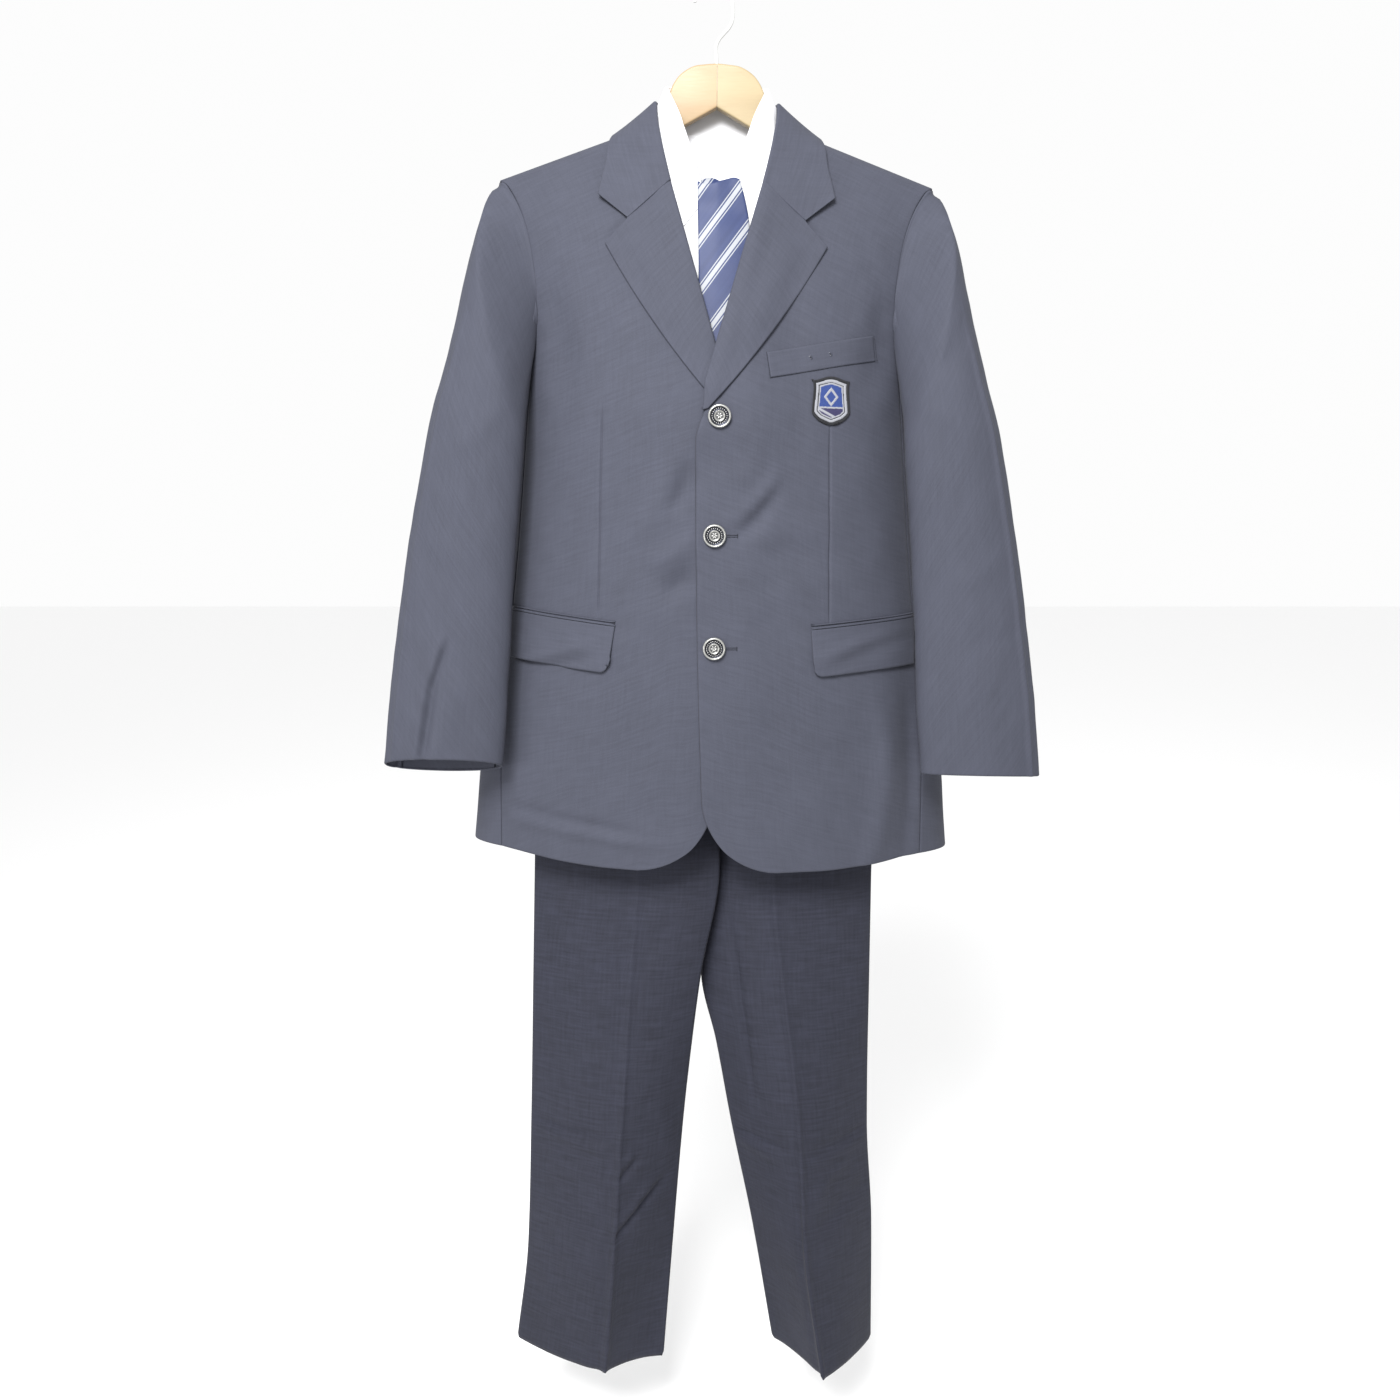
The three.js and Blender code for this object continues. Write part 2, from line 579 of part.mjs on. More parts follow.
function patchOnFront(name, sign, at, u, v, thickness, colour) {
  const surface = (uu, vv) => {
    const [x, z] = at(uu, vv);
    const roundSide = 2.4 * smooth((x - 150) / 60);
    return frontSurface(sign, x, z, thickness + ON_PANEL + roundSide);
  };
  add(name, wall(surface, u, v, thickness, { flip: sign > 0 }), colour);
}

function pocket({ tag, sign }) {
  const line = (x) => POCKET.z + POCKET.rise * (x - POCKET.inner);
  const jet = (u, v) => {
    const x = lerp(POCKET.inner, POCKET.outer, u);
    return [x, line(x) - POCKET.jet * v];
  };
  patchOnFront(`pocket_jet${tag}`, sign, jet, steps(6), [0, 1], 1.4, COLOURS.suiting);
  const flap = (u, v) => {
    const slant = 8 * v * (1 - u);
    const rounding = 6 * (1 - clamp(u / 0.1)) ** 2 * smooth(v * 1.6 - 0.6);
    const x = lerp(POCKET.inner, POCKET.outer, u) + slant;
    return [x, line(x) - POCKET.jet - SEAM - (POCKET.flap - rounding) * v];
  };
  const columns = [0, 0.04, 0.1, 0.25, 0.45, 0.65, 0.83, 1];
  patchOnFront(`pocket_flap${tag}`, sign, flap, columns, [0, 0.45, 0.8, 1], 1.8, COLOURS.suiting);
}

function chestPocket() {
  const welt = (u, v) => {
    const x = lerp(WELT.inner, WELT.outer, u) + WELT.slant * v;
    return [x, WELT.z + WELT.rise * (x - WELT.inner) - WELT.height * v];
  };
  patchOnFront('chest_welt', 1, welt, steps(5), [0, 0.5, 1], 1.6, COLOURS.suiting);
}

function badge() {
  const widths = polyline([[0, 0.96], [0.15, 0.84], [0.45, 0.9], [0.7, 0.98], [0.88, 0.66], [1, 0.12]]);
  const shield = (u, v) => {
    const x = BADGE.x + (u - 0.5) * BADGE.width * widths(v);
    return [x, BADGE.z + BADGE.height * (0.5 - v) + 2 * Math.cos(2 * Math.PI * (u - 0.5)) * (1 - v)];
  };
  patchOnFront('badge', 1, shield, steps(4), [0, 0.15, 0.45, 0.7, 0.88, 1], 1.2, COLOURS.badge);
}

function buttons() {
  const radius = BUTTON_DIAMETER / 2;
  const profile = [
    [0, 0], [radius - 2, 0], [radius, 1.4], [radius, 3.2], [radius - 1.2, 4.4], [radius - 2.6, 3.7], [0, 4.8],
  ];
  BUTTONS.forEach(({ x, z }, i) => {
    const geometry = new THREE.LatheGeometry(profile.map(([r, h]) => new THREE.Vector2(r, h)), 16);
    geometry.rotateX(Math.PI); // the lathe's axis points to -Y
    const rim = [[0, 0], [radius, 0], [-radius, 0], [0, radius], [0, -radius]];
    const seat = Math.min(...rim.map(([dx, dz]) => frontSurface(1, x + dx, z + dz)[1])) - SEAM;
    geometry.translate(...place([x, seat, z]));
    add(`button_${i + 1}`, geometry, COLOURS.button, 0.35, 0.8);
  });
}

// ---------------------------------------------------------------- shirt

const SHIRT_HEM_Z = -790;
const SHIRT_YOKE_Z = -215;
const SHIRT_NECK = { x: 70, z: shoulderZ(70) - SHIRT.top };
const SHIRT_FRONT_NECK = { x: 17, z: -216 };
const SHIRT_OVERLAP_X = 12;
const SHIRT_FRONT_LIFT = SHIRTING * 2.6; // the left front over the right one
const SHIRT_UNDERARM_V = 0.28;

function shirtSideX(z, front) {
  if (z > UNDERARM_SIDE_Z) return (front ? ARMHOLE.front(z) : ARMHOLE.back(z)) - SHIRT.side * 0.8;
  const start = (front ? ARMHOLE.front : ARMHOLE.back)(UNDERARM_SIDE_Z) - SHIRT.side * 0.8;
  const end = (BODY.half(z) - SHIRT.side) * 0.9995;
  return lerp(start, end, smooth((UNDERARM_SIDE_Z - z) / 60));
}

const SHIRT_ROWS = [0, 0.01, 0.03, 0.07, 0.14, 0.21, SHIRT_UNDERARM_V, 0.36, 0.5, 0.7, 0.85, 1];

function shirtSideEdge(front) {
  return (v) => {
    const top = shoulderZ(SHOULDER_TIP.x) - SHIRT.top;
    const z = v < SHIRT_UNDERARM_V ? lerp(top, UNDERARM_SIDE_Z, v / SHIRT_UNDERARM_V)
      : lerp(UNDERARM_SIDE_Z, SHIRT_HEM_Z, (v - SHIRT_UNDERARM_V) / (1 - SHIRT_UNDERARM_V));
    return [shirtSideX(z, front), z];
  };
}

const quarter = (u) => Math.sin((u * Math.PI) / 2);

function shirtFront({ tag, sign }) {
  const tipX = ARMHOLE.front(SHOULDER_TIP.z) - SHIRT.side * 0.8;
  const top = (u) => {
    const x = lerp(SHIRT_NECK.x, tipX, quarter(u));
    return [x, shoulderZ(x) - SHIRT.top];
  };
  const hem = (u) => [lerp(-SHIRT_OVERLAP_X, shirtSideX(SHIRT_HEM_Z, true), quarter(u)), SHIRT_HEM_Z];
  const inner = polyline([
    [0, SHIRT_NECK.x, SHIRT_NECK.z],
    [0.07, 48, -184],
    [0.14, SHIRT_FRONT_NECK.x, SHIRT_FRONT_NECK.z],
    [0.21, -SHIRT_OVERLAP_X, -250],
    [1, -SHIRT_OVERLAP_X, SHIRT_HEM_Z],
  ]);
  const outline = patch(top, hem, inner, shirtSideEdge(true));
  const at = (u, v) => {
    const [x, z] = outline(u, v);
    const over = sign > 0 ? SHIRT_FRONT_LIFT * (1 - smooth((x - 14) / 40)) : 0;
    return [sign * x, frontY(x, z, SHIRT) - over, z];
  };
  const columns = [0, 0.06, 0.14, 0.3, 0.5, 0.75, 1];
  add(`shirt_front${tag}`, wall(at, columns, SHIRT_ROWS, SHIRTING, { flip: sign > 0 }), COLOURS.shirting);
}

function shirtBack() {
  const outline = (x01, z) => x01 * shirtSideX(z, false);
  const back = (u, v) => {
    const z = lerp(SHIRT_YOKE_Z - SEAM, SHIRT_HEM_Z, v);
    const x = Math.sign(u) * outline(quarter(Math.abs(u)), z);
    return [x, backY(x, z, SHIRT), z];
  };
  const columns = [-1, -0.85, -0.65, -0.4, 0, 0.4, 0.65, 0.85, 1];
  const underarm = (UNDERARM_SIDE_Z - SHIRT_YOKE_Z) / (SHIRT_HEM_Z - SHIRT_YOKE_Z);
  const rows = [0, 0.06, 0.13, 0.2, underarm, 0.34, 0.5, 0.75, 1];
  add('shirt_back', wall(back, columns, rows, SHIRTING), COLOURS.shirting);
  const tipX = ARMHOLE.back(SHOULDER_TIP.z) - SHIRT.side * 0.8;
  const yoke = (u, v) => {
    const away = Math.abs(u);
    const neck = SHIRT_NECK.x / tipX;
    const topZ = away < neck
      ? lerp(-149.5, SHIRT_NECK.z, (away / neck) ** 2)
      : shoulderZ(away * tipX) - SHIRT.top;
    const z = lerp(topZ, SHIRT_YOKE_Z, v);
    const x = away * shirtSideX(Math.min(z, SHOULDER_TIP.z), false);
    return [Math.sign(u) * x, backY(x, z, SHIRT), z];
  };
  const neck = SHIRT_NECK.x / tipX;
  const half = [neck * 0.5, neck * 0.8, neck, NECK_POINT.x / tipX, 0.55, 1];
  const yokeColumns = [...half.map((u) => -u).reverse(), 0, ...half];
  add('shirt_yoke', wall(yoke, yokeColumns, [0, 0.04, 0.12, 0.35, 1], SHIRTING), COLOURS.shirting);
}

// A short sleeve, inside the blazer's: it leaves the shirt's armhole and then follows the blazer's
// sleeve, drawn in towards the middle of each of its rings.
const SHIRT_SLEEVE_ROWS = [-1, 0, 0.05, 0.1, 0.17, 0.26];
const DRAWN_IN = 0.25;

function sleeveMiddle(s) {
  const around = steps(12).slice(1).map((t) => sleevePoint(t, s, 1));
  return [0, 1, 2].map((k) => around.reduce((sum, point) => sum + point[k], 0) / around.length);
}

function shirtSleeve({ tag, sign }) {
  const middles = SHIRT_SLEEVE_ROWS.map((s) => [s, ...sleeveMiddle(Math.max(s, 0))]);
  const middleAt = polyline(middles);
  const at = (t, s) => {
    const down = Math.max(s, 0);
    const middle = middleAt(down);
    let point = sleevePoint(t, down, 1).map((value, k) => lerp(value, middle[k], DRAWN_IN));
    if (s < 0) {
      const start = armholePoint(t, SHIRT);
      start[0] += SEAM * 4;
      point = start.map((value, k) => lerp(value, point[k], s + 1));
    }
    return [sign * point[0], point[1], point[2]];
  };
  const stations = SLEEVE_STATIONS.filter((t, i) => t > -AT_UNDERARM && i % 2 === 1);
  const geometry = wall(at, stations, SHIRT_SLEEVE_ROWS, SHIRTING, { flip: sign < 0, ring: true });
  add(`shirt_sleeve${tag}`, geometry, COLOURS.shirting);
}

// ---------------------------------------------------------------- tie

// The tie is laid over its own tail: the blade lies in front and its top edge is the fold.
const TIE = table(['z', 'left', 'right'], [
  // edges of the blade, x for a height, from the fold down
  [-206, -19.5, 23],
  [-246, -18.5, 32],
  [-303, -17.5, 36],
  [-500, -22, 40],
  [-740, -34, 46],
]);
const TIE_END_Z = -740; // where the point at its foot starts
const TIE_POINT = 50;
const TIE_OVER_SHIRT = { blade: 5, tail: 2.4 };

function tie() {
  const surface = (x, z, out) => {
    const overCollar = 3 * smooth((z + 240) / 30);
    return [x, frontY(x, z, SHIRT) - SHIRT_FRONT_LIFT - overCollar - out, z];
  };
  const blade = (u, v) => {
    const endZ = TIE_END_Z - TIE_POINT * (1 - Math.abs(2 * u - 1));
    const z = lerp(-206, endZ, v) + 3 * Math.sin(2 * Math.PI * u) * (1 - v);
    return surface(lerp(TIE.left(z), TIE.right(z), u), z, TIE_OVER_SHIRT.blade);
  };
  const tail = (u, v) => {
    const z = lerp(-209, -720, v) + 3 * Math.sin(2 * Math.PI * u) * (1 - v);
    return surface(lerp(TIE.left(z) + 4, TIE.right(z) - 4 - 14 * v, u), z, TIE_OVER_SHIRT.tail);
  };
  add('tie_blade', wall(blade, steps(4), steps(12), TIE_CLOTH, { flip: true }), COLOURS.tie, 0.6);
  add('tie_tail', wall(tail, steps(2), steps(10), TIE_CLOTH, { flip: true }), COLOURS.tie, 0.6);
}

// ---------------------------------------------------------------- trousers, hanging plumb

// Sections of each leg: its outer edge, its front crease and its inner edge, how far the back
// panel's inner edge lies behind the front one's, and the back crease.
const LEG_COLUMNS = ['z', 'outer', 'outerY', 'crease', 'creaseY', 'inner', 'innerY', 'seat', 'backY'];
const LEG_L = table(LEG_COLUMNS, [
  [-606, 196, 0, 98, -5, 4.5, -10, 20, 9],
  [-700, 193, 0, 82, -20, 4.6, -14, 26, 18],
  [-815, 184, 0, 67, -32, 5, -8, 1.5, 26],
  [-930, 176, 0, 66, -42, -14, 2, SEAM, 34],
  [-1041, 176, 1, 77, -45, -12, 0, SEAM, 36],
  [-1121, 176, 3, 87, -50, 5, 0, SEAM, 38],
  [-1216, 177, 6, 96.5, -54, 22, 2, SEAM, 40],
  [-1342, 185, 12, 104, -58, 47, 8, SEAM, 45],
  [TROUSER_HEM_Z, 188, 20, 125, -62, 72, 20, SEAM, 50],
]);
const LEG_R = table(LEG_COLUMNS, [
  [-606, -188, 0, -90, -5, 4.1, -10, 20, 9],
  [-700, -190, 0, -84, -22, 4, -15, 27, 18],
  [-815, -192, 0, -78, -33, 3.8, -14, 1.5, 26],
  [-910, -195, 0, -79, -40, 8.6, -30, SEAM, 34],
  [-1036, -199, 1, -88, -44, -12, -25, SEAM, 36],
  [-1126, -202, 4, -94, -48, -23, -15, SEAM, 38],
  [-1213, -205, 6, -100, -53, -32, -7, SEAM, 40],
  [-1369, -212, 12, -110, -59, -45, -10, SEAM, 45],
  [TROUSER_HEM_Z, -228, 21, -120, -50, -55, -15, SEAM, 50],
]);
const CROTCH_Z = -815;
const LEG_ROWS = [-606 - SEAM, -655, -730, CROTCH_Z, -870, -940, -1040, -1130, -1216, -1350, TROUSER_HEM_Z];
const LEG_FOLD = 3; // radius of the folded edges
const LEG_BOW = 6; // fullness of each half panel between edge and crease

// One half of a panel: `share` runs from 0 at the edge to 1 at the crease, `out` is -1 for the front.
function legHalf(share, edge, edgeY, crease, creaseY, fold, bow, out) {
  const turned = clamp(share / 0.03);
  const round = fold * Math.sqrt(1 - (1 - turned) ** 2);
  const y = lerp(edgeY, creaseY - out * fold, share) + out * (round + bow * 4 * share * (1 - share));
  return [lerp(edge, crease, share), y];
}

function legPanel(name, leg, front, flip) {
  const out = front ? -1 : 1;
  const at = (u, drop) => {
    const z = -drop;
    const inside = smooth((-700 - z) / 115) * LEG_FOLD;
    const bowInside = out < 0 ? lerp(LEG_BOW, -8, smooth((-1216 - z) / 279)) : LEG_BOW;
    const creaseY = front ? leg.creaseY(z) : leg.backY(z);
    const innerY = leg.innerY(z) + (front ? 0 : leg.seat(z));
    const outerY = leg.outerY(z) + (out * SEAM) / 2;
    const crease = leg.crease(z);
    const [x, y] = u < 0.5
      ? legHalf(clamp(2 * u), leg.outer(z), outerY, crease, creaseY, LEG_FOLD, LEG_BOW, out)
      : legHalf(clamp(2 - 2 * u), leg.inner(z), innerY, crease, creaseY, inside, bowInside, out);
    return [x, y, z];
  };
  const columns = [0, 0.015, 0.2, 0.5, 0.8, 0.985, 1];
  const drops = LEG_ROWS.map((z) => -z);
  add(name, wall(at, columns, drops, TROUSER_CLOTH, { flip, where: upright }), COLOURS.trousers);
}

function waistband() {
  const [left, right] = [LEG_R.outer(-606), LEG_L.outer(-606)];
  const [middle, half] = [(left + right) / 2, (right - left) / 2];
  const at = (turn, drop) => {
    const way = turn - Math.floor(turn);
    const across = way < 0.5 ? 1 - 4 * way : 4 * way - 3;
    const x = middle + half * across;
    const pinch = 1 - smooth((Math.abs(Math.abs(x - CENTRE_X) - CLIP_X) - 13) / 24);
    const y = Math.sqrt(clamp(1 - across ** 8)) * (10 - 6 * pinch);
    return [x, way < 0.5 ? -y : y, -drop];
  };
  const edges = [0.985, 0.93, 0.8, 0.652, 0.517, 0.3];
  const across = [1, ...edges, 0, ...edges.map((a) => -a).reverse()];
  const turns = [...across.map((a) => (1 - a) / 4), ...across.map((a) => (3 - a) / 4)];
  const rows = [-TROUSER_TOP_Z, WAISTBAND - TROUSER_TOP_Z];
  add('waistband', wall(at, turns, rows, TROUSER_CLOTH, { ring: true, where: upright }), COLOURS.trousers);
}

// ---------------------------------------------------------------- hanger, hook and clips

const BAR_Z = -546;
const BAR_RADIUS = 3;
const BAR_LENGTH = 260;
const DROP_RADIUS = 1.5;
const DROP_X = 90; // the two wires that hang the bar from the arms
const DROP_TOP_Z = -175.6; // just under the arm at that place
const HOOK_FOOT_Z = -82.6;
const HANGER_NOTCH_Z = -126;
const ARM_END_X = 206;
const ARM_BELOW_SHOULDER = 8; // clear of the shirt's inner face
const ARM_BEVEL = 4;
const HANGER_Y = -1.6;
const CLIP = { width: 22, head: 7, slot: 4.3, slotTop: 22, length: 44 };

function extruded(shape, depth, options = {}) {
  const settings = { depth, bevelEnabled: false, curveSegments: 16, ...options };
  const geometry = new THREE.ExtrudeGeometry(shape, settings);
  geometry.deleteAttribute('uv');
  return geometry;
}

function hangerArm({ tag, sign }) {
  const onTop = (x) => [x, shoulderZ(x) - ARM_BELOW_SHOULDER];
  const outline = [
    [SEAM / 2, HANGER_NOTCH_Z + 43], [12, -84], [24, -87.5], [35, -95.5], [41, -104], [46, -113],
    [51.5, -126], [59, -141], [67, -150.5], onTop(80), onTop(140), onTop(ARM_END_X - 6),
    [ARM_END_X, -207], [ARM_END_X, -213], [ARM_END_X - 6, -218], [150, -199], [100, -180],
    [60, -158.7], [38.5, -147], [SEAM / 2, HANGER_NOTCH_Z],
  ];
  const shape = new THREE.Shape(outline.map(([x, z]) => new THREE.Vector2(x, z)));
  const flat = HANGER_THICKNESS - 2 * ARM_BEVEL;
  const bevel = {
    bevelEnabled: true,
    bevelThickness: ARM_BEVEL,
    bevelSize: ARM_BEVEL,
    bevelOffset: -ARM_BEVEL,
    bevelSegments: 2,
  };
  const geometry = extruded(shape, flat, bevel);
  geometry.translate(0, 0, -flat / 2);
  geometry.rotateX(Math.PI / 2);
  geometry.translate(0, HANGER_Y, 0);
  const points = geometry.getAttribute('position');
  for (let i = 0; i < points.count; i += 1) {
    points.setXYZ(i, ...place([sign * points.getX(i), points.getY(i), points.getZ(i)]));
  }
  if (sign < 0) {
    // Turned over, so each triangle runs the other way round.
    for (let i = 0; i < points.count; i += 3) {
      const [a, c] = [i, i + 2].map((k) => [points.getX(k), points.getY(k), points.getZ(k)]);
      points.setXYZ(i, ...c);
      points.setXYZ(i + 2, ...a);
    }
  }
  geometry.computeVertexNormals();
  add(`hanger_arm${tag}`, geometry, COLOURS.wood, 0.45);
}

function hook() {
  const centreZ = -17;
  const radius = -centreZ + WIRE / 2;
  const stem = [[4.2, HOOK_FOOT_Z], [4.4, -70], [6, -58], [12, -45], [17.6, -31]];
  const bend = steps(12).map((t) => {
    const angle = Math.PI * lerp(0, 1.1, t);
    return [radius * Math.cos(angle), centreZ + radius * Math.sin(angle)];
  });
  const path = new THREE.CatmullRomCurve3([...stem, ...bend].map(([x, z]) => new THREE.Vector3(x, 0, z)));
  const section = new THREE.Shape().absarc(0, 0, WIRE / 2, 0, 2 * Math.PI);
  const settings = { steps: 36, extrudePath: path, curveSegments: 5, bevelEnabled: false };
  const geometry = new THREE.ExtrudeGeometry(section, settings);
  geometry.deleteAttribute('uv');
  add('hook', geometry, COLOURS.wire, 0.4);
}

function clipBar() {
  const bar = new THREE.CylinderGeometry(BAR_RADIUS, BAR_RADIUS, BAR_LENGTH, 16);
  bar.rotateZ(Math.PI / 2);
  bar.translate(CENTRE_X, 0, BAR_Z);
  add('clip_bar', bar, COLOURS.steel, 0.35, 0.8);
  SIDES.forEach(({ tag, sign }) => {
    const foot = BAR_Z + BAR_RADIUS + SEAM;
    const [x, , top] = place([sign * DROP_X, 0, DROP_TOP_Z]);
    const drop = new THREE.CylinderGeometry(DROP_RADIUS, DROP_RADIUS, top - foot, 10);
    drop.rotateX(Math.PI / 2);
    drop.translate(x, 0, (top + foot) / 2);
    add(`drop_wire${tag}`, drop, COLOURS.steel, 0.35, 0.8);
    const { width, head, slot, slotTop, length } = CLIP;
    const outline = [
      [-head, head], [-head, -length], [-slot, -length], [-slot, -slotTop],
      [slot, -slotTop], [slot, -length], [head, -length], [head, head],
    ];
    const shape = new THREE.Shape(outline.map(([y, z]) => new THREE.Vector2(y, z)));
    shape.holes.push(new THREE.Path().absarc(0, 0, BAR_RADIUS + SEAM, 0, 2 * Math.PI, true));
    const geometry = extruded(shape, width);
    geometry.translate(0, 0, -width / 2);
    geometry.rotateX(Math.PI / 2);
    geometry.rotateZ(Math.PI / 2);
    geometry.translate(CENTRE_X + sign * CLIP_X, 0, BAR_Z);
    add(`trouser_clip${tag}`, geometry, COLOURS.steel, 0.35, 0.6);
  });
}

SIDES.forEach((side) => {
  jacketFront(side);
  jacketSide(side);
  jacketBack(side);
  jacketSleeve(side);
  lapel(side);
  pocket(side);
  shirtFront(side);
  shirtSleeve(side);
});
neckBand('collar_fall', JACKET_FALL, SUITING, COLOURS.suiting, [0, 0.5, 1]);
neckBand('collar_stand', JACKET_STAND, 1.6, COLOURS.suiting, [0, 1]);
neckBand('shirt_collar_fall', SHIRT_FALL, SHIRTING, COLOURS.shirting, [0, 0.5, 1]);
neckBand('shirt_collar_stand', SHIRT_STAND, SHIRTING, COLOURS.shirting, [0, 1]);
chestPocket();
badge();
buttons();
shirtBack();
tie();
legPanel('trouser_front_l', LEG_L, true, false);
legPanel('trouser_front_r', LEG_R, true, true);
legPanel('trouser_back_l', LEG_L, false, true);
legPanel('trouser_back_r', LEG_R, false, false);
waistband();
SIDES.forEach(hangerArm);
hook();
clipBar();

export default garment;
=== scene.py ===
# %% [markdown]
# # A school uniform on a hanger
#
# A blazer closed over a shirt and a striped tie, with creased trousers below, hung up flat.
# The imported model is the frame: it says where every piece goes. This lesson lays fine cloth
# over it, piece by piece, and finishes each cloth, button and bit of wood.

import math

import bmesh
import bpy
import numpy as np
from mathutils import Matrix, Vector


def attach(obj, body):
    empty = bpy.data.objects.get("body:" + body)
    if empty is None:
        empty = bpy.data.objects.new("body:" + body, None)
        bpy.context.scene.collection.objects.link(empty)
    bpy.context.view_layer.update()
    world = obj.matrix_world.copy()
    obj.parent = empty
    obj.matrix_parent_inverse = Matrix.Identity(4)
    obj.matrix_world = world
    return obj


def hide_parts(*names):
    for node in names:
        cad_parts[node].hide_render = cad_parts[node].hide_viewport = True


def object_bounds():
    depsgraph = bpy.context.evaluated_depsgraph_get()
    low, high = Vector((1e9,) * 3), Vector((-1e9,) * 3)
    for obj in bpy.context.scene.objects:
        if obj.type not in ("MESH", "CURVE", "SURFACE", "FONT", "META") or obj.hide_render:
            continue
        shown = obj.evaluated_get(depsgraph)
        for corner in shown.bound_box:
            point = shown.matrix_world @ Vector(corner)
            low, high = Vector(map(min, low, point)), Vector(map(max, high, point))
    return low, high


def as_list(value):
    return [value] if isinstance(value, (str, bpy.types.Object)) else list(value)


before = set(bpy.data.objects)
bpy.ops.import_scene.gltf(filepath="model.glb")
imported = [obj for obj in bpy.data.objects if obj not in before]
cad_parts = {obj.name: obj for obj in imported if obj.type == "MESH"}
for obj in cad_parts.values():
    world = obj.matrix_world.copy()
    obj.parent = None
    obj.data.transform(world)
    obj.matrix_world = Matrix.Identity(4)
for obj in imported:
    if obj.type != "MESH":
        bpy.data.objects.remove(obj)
cad_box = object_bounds()
print("frame", [round(v, 3) for corner in cad_box for v in corner])

# %% [markdown]
# ## Camera, light and floor
#
# Clothes are shot from the front with one wide, soft light above the camera and a pale room
# that fills the shadows. A large area light does that, a weak one low down reaches the
# trousers, and a bright world does the rest.

# %% Camera, light and floor
scene = bpy.context.scene
scene.view_settings.view_transform = "Standard"

camera = bpy.data.objects.new("camera", bpy.data.cameras.new("camera"))
camera.data.sensor_width = 36
camera.data.lens = 36  # as long as the sensor is wide
camera.location = (-0.013, -1.5, -0.51)
camera.rotation_euler = (math.radians(90 - 8.5), 0, 0)
scene.collection.objects.link(camera)
scene.camera = camera


def soft_light(name, place, target, size, power, spread=120):
    light = bpy.data.lights.new(name, "AREA")
    light.size = size
    light.energy = power
    light.spread = math.radians(spread)
    lamp = bpy.data.objects.new(name, light)
    lamp.location = place
    lamp.rotation_euler = (Vector(target) - Vector(place)).to_track_quat("-Z", "Y").to_euler()
    scene.collection.objects.link(lamp)


soft_light("key_light", (-0.5, -2.15, 0.95), (0.02, 0, -0.4), 1.0, 30, 80)
soft_light("low_light", (-1.5, -1.6, -0.9), (-0.15, 0, -1.1), 0.8, 2.2, 60)

world = bpy.data.worlds.new("pale_room")
world.use_nodes = True
world.node_tree.nodes["Background"].inputs["Color"].default_value = (1, 1, 1, 1)
world.node_tree.nodes["Background"].inputs["Strength"].default_value = 0.98
scene.world = world

FLOOR_DROP = 0.12  # the hems hang this far above the floor
FLOOR_HALF = 12
floor_z = cad_box[0].z - FLOOR_DROP
floor_mesh = bpy.data.meshes.new("floor")
corners = [(x * FLOOR_HALF, y * FLOOR_HALF, floor_z) for x, y in ((-1, -1), (1, -1), (1, 1), (-1, 1))]
floor_mesh.from_pydata(corners, [], [(0, 1, 2, 3)])
floor = bpy.data.objects.new("floor", floor_mesh)
pale_floor = bpy.data.materials.new("pale_floor")
pale_floor.use_nodes = True
floor_shader = pale_floor.node_tree.nodes["Principled BSDF"]
floor_shader.inputs["Base Color"].default_value = (0.94, 0.94, 0.94, 1)
floor_shader.inputs["Roughness"].default_value = 0.9
floor_mesh.materials.append(pale_floor)
scene.collection.objects.link(floor)
print("floor at", round(floor_z, 3))

# %% [markdown]
# ## Small tools
#
# Every cloth piece here is a grid of points worked out from short tables, so the tools are the
# ones a pattern cutter would want: a smooth curve through a few sizes, a panel spread between
# its four edges, and a way to turn a grid into cloth. All sizes are in millimetres until a
# mesh is made.

# %% Tables and easing
MM = 0.001


def smooth(t):
    t = np.clip(t, 0, 1)
    return t * t * (3 - 2 * t)


def lerp(a, b, t):
    return a + (b - a) * t


def table(columns, rows):
    """Smooth curves through the rows of a table, one for each named column after the first."""
    rows = np.array(sorted(rows), dtype=float)
    keys, curves = rows[:, 0], {}
    for index, name in enumerate(columns[1:], 1):
        values = rows[:, index]
        slopes = np.diff(values) / np.diff(keys)
        bends = np.zeros(len(keys))
        bends[0], bends[-1] = slopes[0], slopes[-1]
        same_way = slopes[:-1] * slopes[1:] > 0
        total = np.where(same_way, slopes[:-1] + slopes[1:], 1)
        bends[1:-1] = np.where(same_way, 2 * slopes[:-1] * slopes[1:] / total, 0)
        curves[name] = curve_through(keys, values, bends)
    return curves


def curve_through(keys, values, bends):
    def read(key):
        key = np.asarray(key, dtype=float)
        i = np.clip(np.searchsorted(keys, key) - 1, 0, len(keys) - 2)
        span = keys[i + 1] - keys[i]
        t = np.clip((key - keys[i]) / span, 0, 1)
        inside = (values[i] * (2 * t**3 - 3 * t**2 + 1) + values[i + 1] * (3 * t**2 - 2 * t**3)
                  + bends[i] * span * (t**3 - 2 * t**2 + t) + bends[i + 1] * span * (t**3 - t**2))
        before = np.minimum(key - keys[0], 0) * bends[0]
        after = np.maximum(key - keys[-1], 0) * bends[-1]
        return inside + before + after
    return read


def polyline(t, points):
    """Points that are passed at their own share of the way: each is (share, value, value...)."""
    points = np.array(points, dtype=float)
    return [np.interp(t, points[:, 0], points[:, k]) for k in range(1, points.shape[1])]


